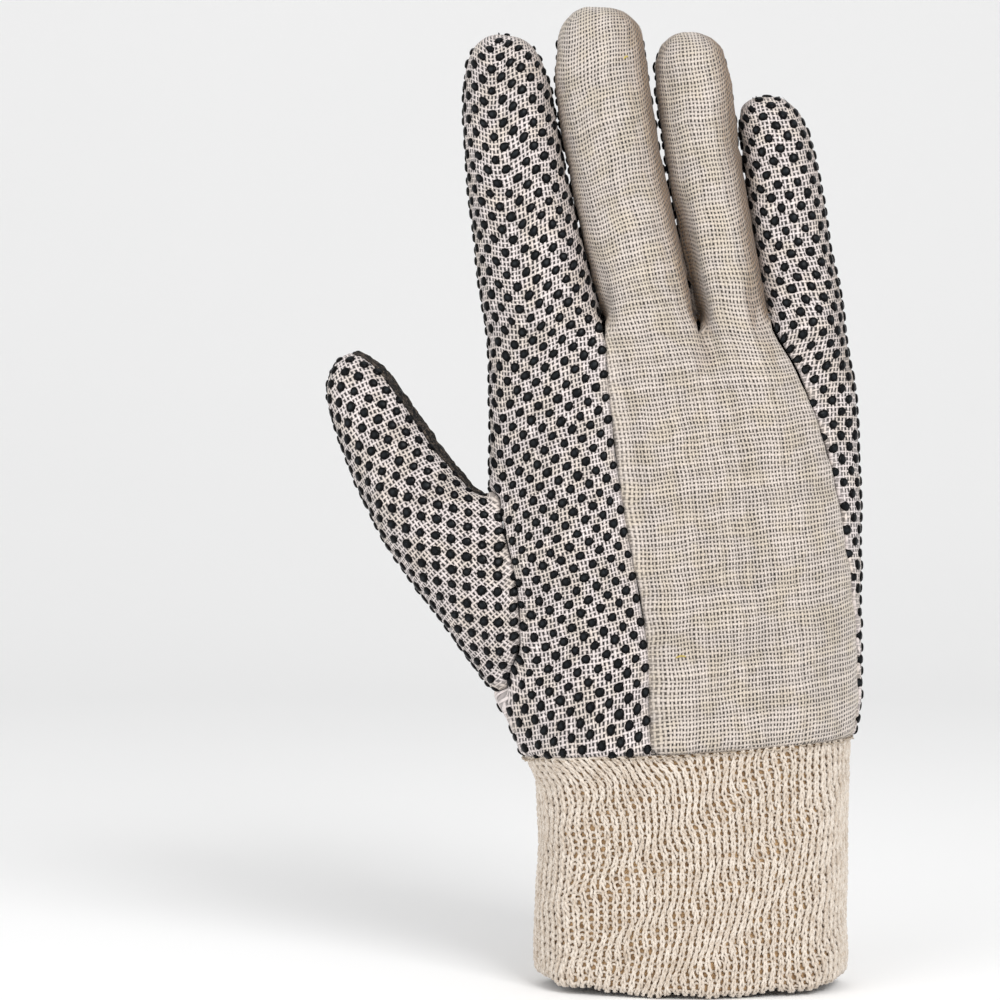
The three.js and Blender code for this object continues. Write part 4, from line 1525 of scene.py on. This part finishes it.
def lower_edge(surface):
    """The cloth's lower edge as a closed path, its outward directions and the way along it."""
    mesh = surface.data
    shaped = bmesh.new()
    shaped.from_mesh(mesh)
    rim = [(v.co / MM, v.normal.copy()) for v in shaped.verts if v.is_boundary]
    shaped.free()
    rim.sort(key=lambda entry: math.atan2(entry[0].y, entry[0].x))
    path = np.array([p for p, _ in rim])
    normals = np.array([n for _, n in rim])
    closed = np.concatenate((path, path[:1]))
    travel = np.concatenate(([0], np.cumsum(np.linalg.norm(np.diff(closed, axis=0), axis=1))))
    return closed, np.concatenate((normals, normals[:1])), travel


# The stitches between the hand and the cuff: their pitch and the thread's radius
STITCH = 2.3
STITCH_RADIUS = 0.2


def cuff_stitches(edge):
    """Slack stitches of the seam between the hand and the cuff."""
    path, normals, travel = edge
    rng = np.random.default_rng(8)
    threads = []
    for start in np.arange(0, travel[-1] - STITCH, STITCH):
        reach = np.linspace(start + rng.uniform(-0.1, 0.3), start + STITCH * rng.uniform(0.75, 1.05), 5)
        place = np.stack([np.interp(reach, travel, path[:, k]) for k in range(3)], 1)
        out = np.stack([np.interp(reach, travel, normals[:, k]) for k in range(3)], 1)
        arch = np.sin(np.linspace(0, math.pi, 5))
        place += out * (-1.1 + 0.75 * arch)[:, None]
        place[:, 2] += rng.uniform(-0.7, 0.0) - 0.25 * arch
        threads.append(place)
    return thread_object("cuff_seam_stitches", threads, STITCH_RADIUS, 5, sewing_cotton)


# How far each strand of the thumb's seam lies from it, towards the back of the hand
STRAND_PLACES = (-1.2, -0.2, 0.8, 1.9, 3.0, 4.2, 5.4, 6.6)
STRAND_RADIUS = 0.42
STRAND_POINTS = 130


def thumb_seam_strands(cage, cloth):
    """The bunched edge of cloth along the top of the thumb, as strands that lie side by side.
    They are coloured near black: partly the squeezed black dots of the bunched cloth, partly
    painted shade where the thumb's top turns away.
    """
    tree = search_tree(cloth.data)
    coarse = np.array([cage.points[n] for n in cage.thumb_seam])
    centre = smooth_between(coarse, np.linspace(0.2, len(coarse) - 1.6, STRAND_POINTS), False)
    along = unit_rows(np.gradient(centre, axis=0))
    towards_back = unit_rows(np.array((0.0, -1.0, 0.0)) + along * along[:, 1:2])
    share = np.linspace(0, 1, STRAND_POINTS)
    narrow = np.interp(share, (0, 0.2, 0.75, 1), (0.6, 0.8, 1.0, 0.45))
    threads = []
    for k, place in enumerate(STRAND_PLACES):
        path = []
        for i, p in enumerate(centre):
            wobble = noise.noise(Vector((share[i] * 15, k * 5.3, 2.0))) * 0.7
            lift = noise.noise(Vector((share[i] * 34, k * 7.7, 9.0))) * 0.5
            beside = p + towards_back[i] * (place * narrow[i] + wobble)
            near, normal, _, _ = tree.find_nearest(Vector(beside))
            path.append(near + normal * (0.3 + lift))
        threads.append(path)
    return thread_object("thumb_seam", threads, STRAND_RADIUS, 6, seam_strand_and_shade)


# Small flecks of husk in the plain cloth: x, z, length and turn of each, and their thickness
FLECKS = [(-4.1, 83.6, 2.6, 0.12), (-17.1, 235.6, 1.2, 0.5)]
FLECK_RADIUS = 0.24


def husk_flecks(cloth):
    """The flecks as short bent threads that lie on the cloth."""
    tree = search_tree(cloth.data)
    threads = []
    for x, z, length, turn in FLECKS:
        path = []
        for s in np.linspace(-0.5, 0.5, 7):
            px = x + s * length * math.cos(turn)
            pz = z + s * length * math.sin(turn) + 0.35 * math.cos(s * math.pi)
            hit, normal, _, _ = tree.ray_cast(Vector((px, -60.0, pz)), Vector((0, 1, 0)))
            path.append(hit + normal * 0.1)
        threads.append(path)
    return thread_object("husk_flecks", threads, FLECK_RADIUS, 5, husk)


cage = ClothCage()
surface = make_cloth_surface(cage)
settle_cloth(surface)
shade_creases(surface)

SHEETS = (
    (PALM, "palm_cloth", dotted_cotton, "palm_piece", "dotted_cotton"),
    (BACK, "back_cloth", plain_cotton, "back_panel", "plain_cotton"),
    (THUMB, "thumb_cloth", dotted_cotton, "thumb", "dotted_cotton"),
)
cloths, patterns = {}, {}
for piece, name, material, node, slot in SHEETS:
    cloth, parts = cut_piece(surface, piece, name, material)
    patterns[piece] = FlatPattern(cloth, parts)
    apply_modifier(cloth, "SOLIDIFY", thickness=CLOTH_THICKNESS * MM, offset=-1, use_even_offset=False)
    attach(cloth, "root")
    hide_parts(node)
    cloths[piece] = cloth
edge = lower_edge(surface)
bpy.data.objects.remove(surface)

palm_dots = print_dots("palm_dots", patterns[PALM], (0, 0), 5)
thumb_dots = print_dots("thumb_dots", patterns[THUMB], (1, 2), 6)
thumb_seam = thumb_seam_strands(cage, cloths[THUMB])
stitches = cuff_stitches(edge)
flecks = husk_flecks(cloths[BACK])
EXTRAS = (
    (palm_dots, "grip_dots"),
    (thumb_dots, "grip_dots"),
    (thumb_seam, "dotted_cotton"),
    (stitches, "sewing_thread"),
    (flecks, "plain_cotton"),
)
for extra, slot in EXTRAS:
    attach(extra, "root")

form = CuffForm(cage)
lining = make_cuff_shell(form)
apply_modifier(lining, "SOLIDIFY", thickness=LINING_THICKNESS * MM, offset=-1, use_even_offset=False)
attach(lining, "root")
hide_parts("knit_cuff")
courses = int((KNIT_TRAVEL - FIRST_COURSE) / COURSE)
third = courses // 3
for number, (first, last) in enumerate(((0, third), (third, 2 * third), (2 * third, courses))):
    band = knit_courses(f"cuff_knit_{number + 1}", form, first, last, 40 + number)
    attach(band, "root")


# The room, in metres, with the floor right under the lowest point of the cuff's uneven rim
FLOOR = -0.0016
FLOOR_FRONT = -3.0
FLOOR_HALF_WIDTH = 4.0
WALL_FOOT = 1.0
WALL_BEND = 0.8
WALL_TOP = 4.0
GLOVE_MIDDLE = (-0.02, 0, 0.13)


def make_stage():
    """A pale floor that curves up into a pale wall behind the glove."""
    paint = Shading("pale floor", 0.8)
    place = paint.node("ShaderNodeTexCoord").outputs["Object"]
    grain = paint.mottle(place, 3.0, 2.0)
    paint.feed(paint.shader.inputs["Base Color"], paint.blend(grain, rgb(247, 247, 247), rgb(250, 250, 250)))
    section = [(FLOOR_FRONT, FLOOR), (WALL_FOOT, FLOOR)]
    for a in np.linspace(0, math.pi / 2, 12)[1:]:
        section.append((WALL_FOOT + WALL_BEND * math.sin(a), FLOOR + WALL_BEND * (1 - math.cos(a))))
    section.append((WALL_FOOT + WALL_BEND, WALL_TOP))
    points = [(x / MM, y / MM, z / MM) for y, z in section for x in (-FLOOR_HALF_WIDTH, FLOOR_HALF_WIDTH)]
    faces = [(2 * i, 2 * i + 1, 2 * i + 3, 2 * i + 2) for i in range(len(section) - 1)]
    mesh_object("stage_floor", points, faces, paint.material)


def soft_light(name, place, size, power):
    """A square light that faces the glove."""
    light = bpy.data.lights.new(name, "AREA")
    light.shape = "SQUARE"
    light.size = size
    light.energy = power
    lamp = bpy.data.objects.new(name, light)
    scene.collection.objects.link(lamp)
    lamp.location = place
    lamp.rotation_euler = (Vector(GLOVE_MIDDLE) - Vector(place)).to_track_quat("-Z", "Y").to_euler()


def light_room():
    """A key light from the right, a weaker fill from the left and an even pale surround."""
    soft_light("key light", (0.5, -1.05, 0.9), 0.6, 11.5)
    soft_light("fill light", (-0.9, -0.9, 0.5), 1.0, 6)
    scene.world = bpy.data.worlds.new("studio")
    scene.world.use_nodes = True
    surround = scene.world.node_tree.nodes["Background"]
    surround.inputs["Color"].default_value = (1, 1, 1, 1)
    surround.inputs["Strength"].default_value = 0.7


def set_camera():
    """The photo's view, level with the middle of the glove and square to the back of the hand."""
    optics = bpy.data.cameras.new("camera")
    optics.lens = 98.1
    optics.sensor_width = 36
    camera = bpy.data.objects.new("camera", optics)
    camera.location = (-0.0492, -0.7, 0.1229)
    camera.rotation_euler = (math.pi / 2, 0, 0)
    scene.collection.objects.link(camera)
    scene.camera = camera


make_stage()
light_room()
set_camera()
scene.view_settings.view_transform = "Standard"
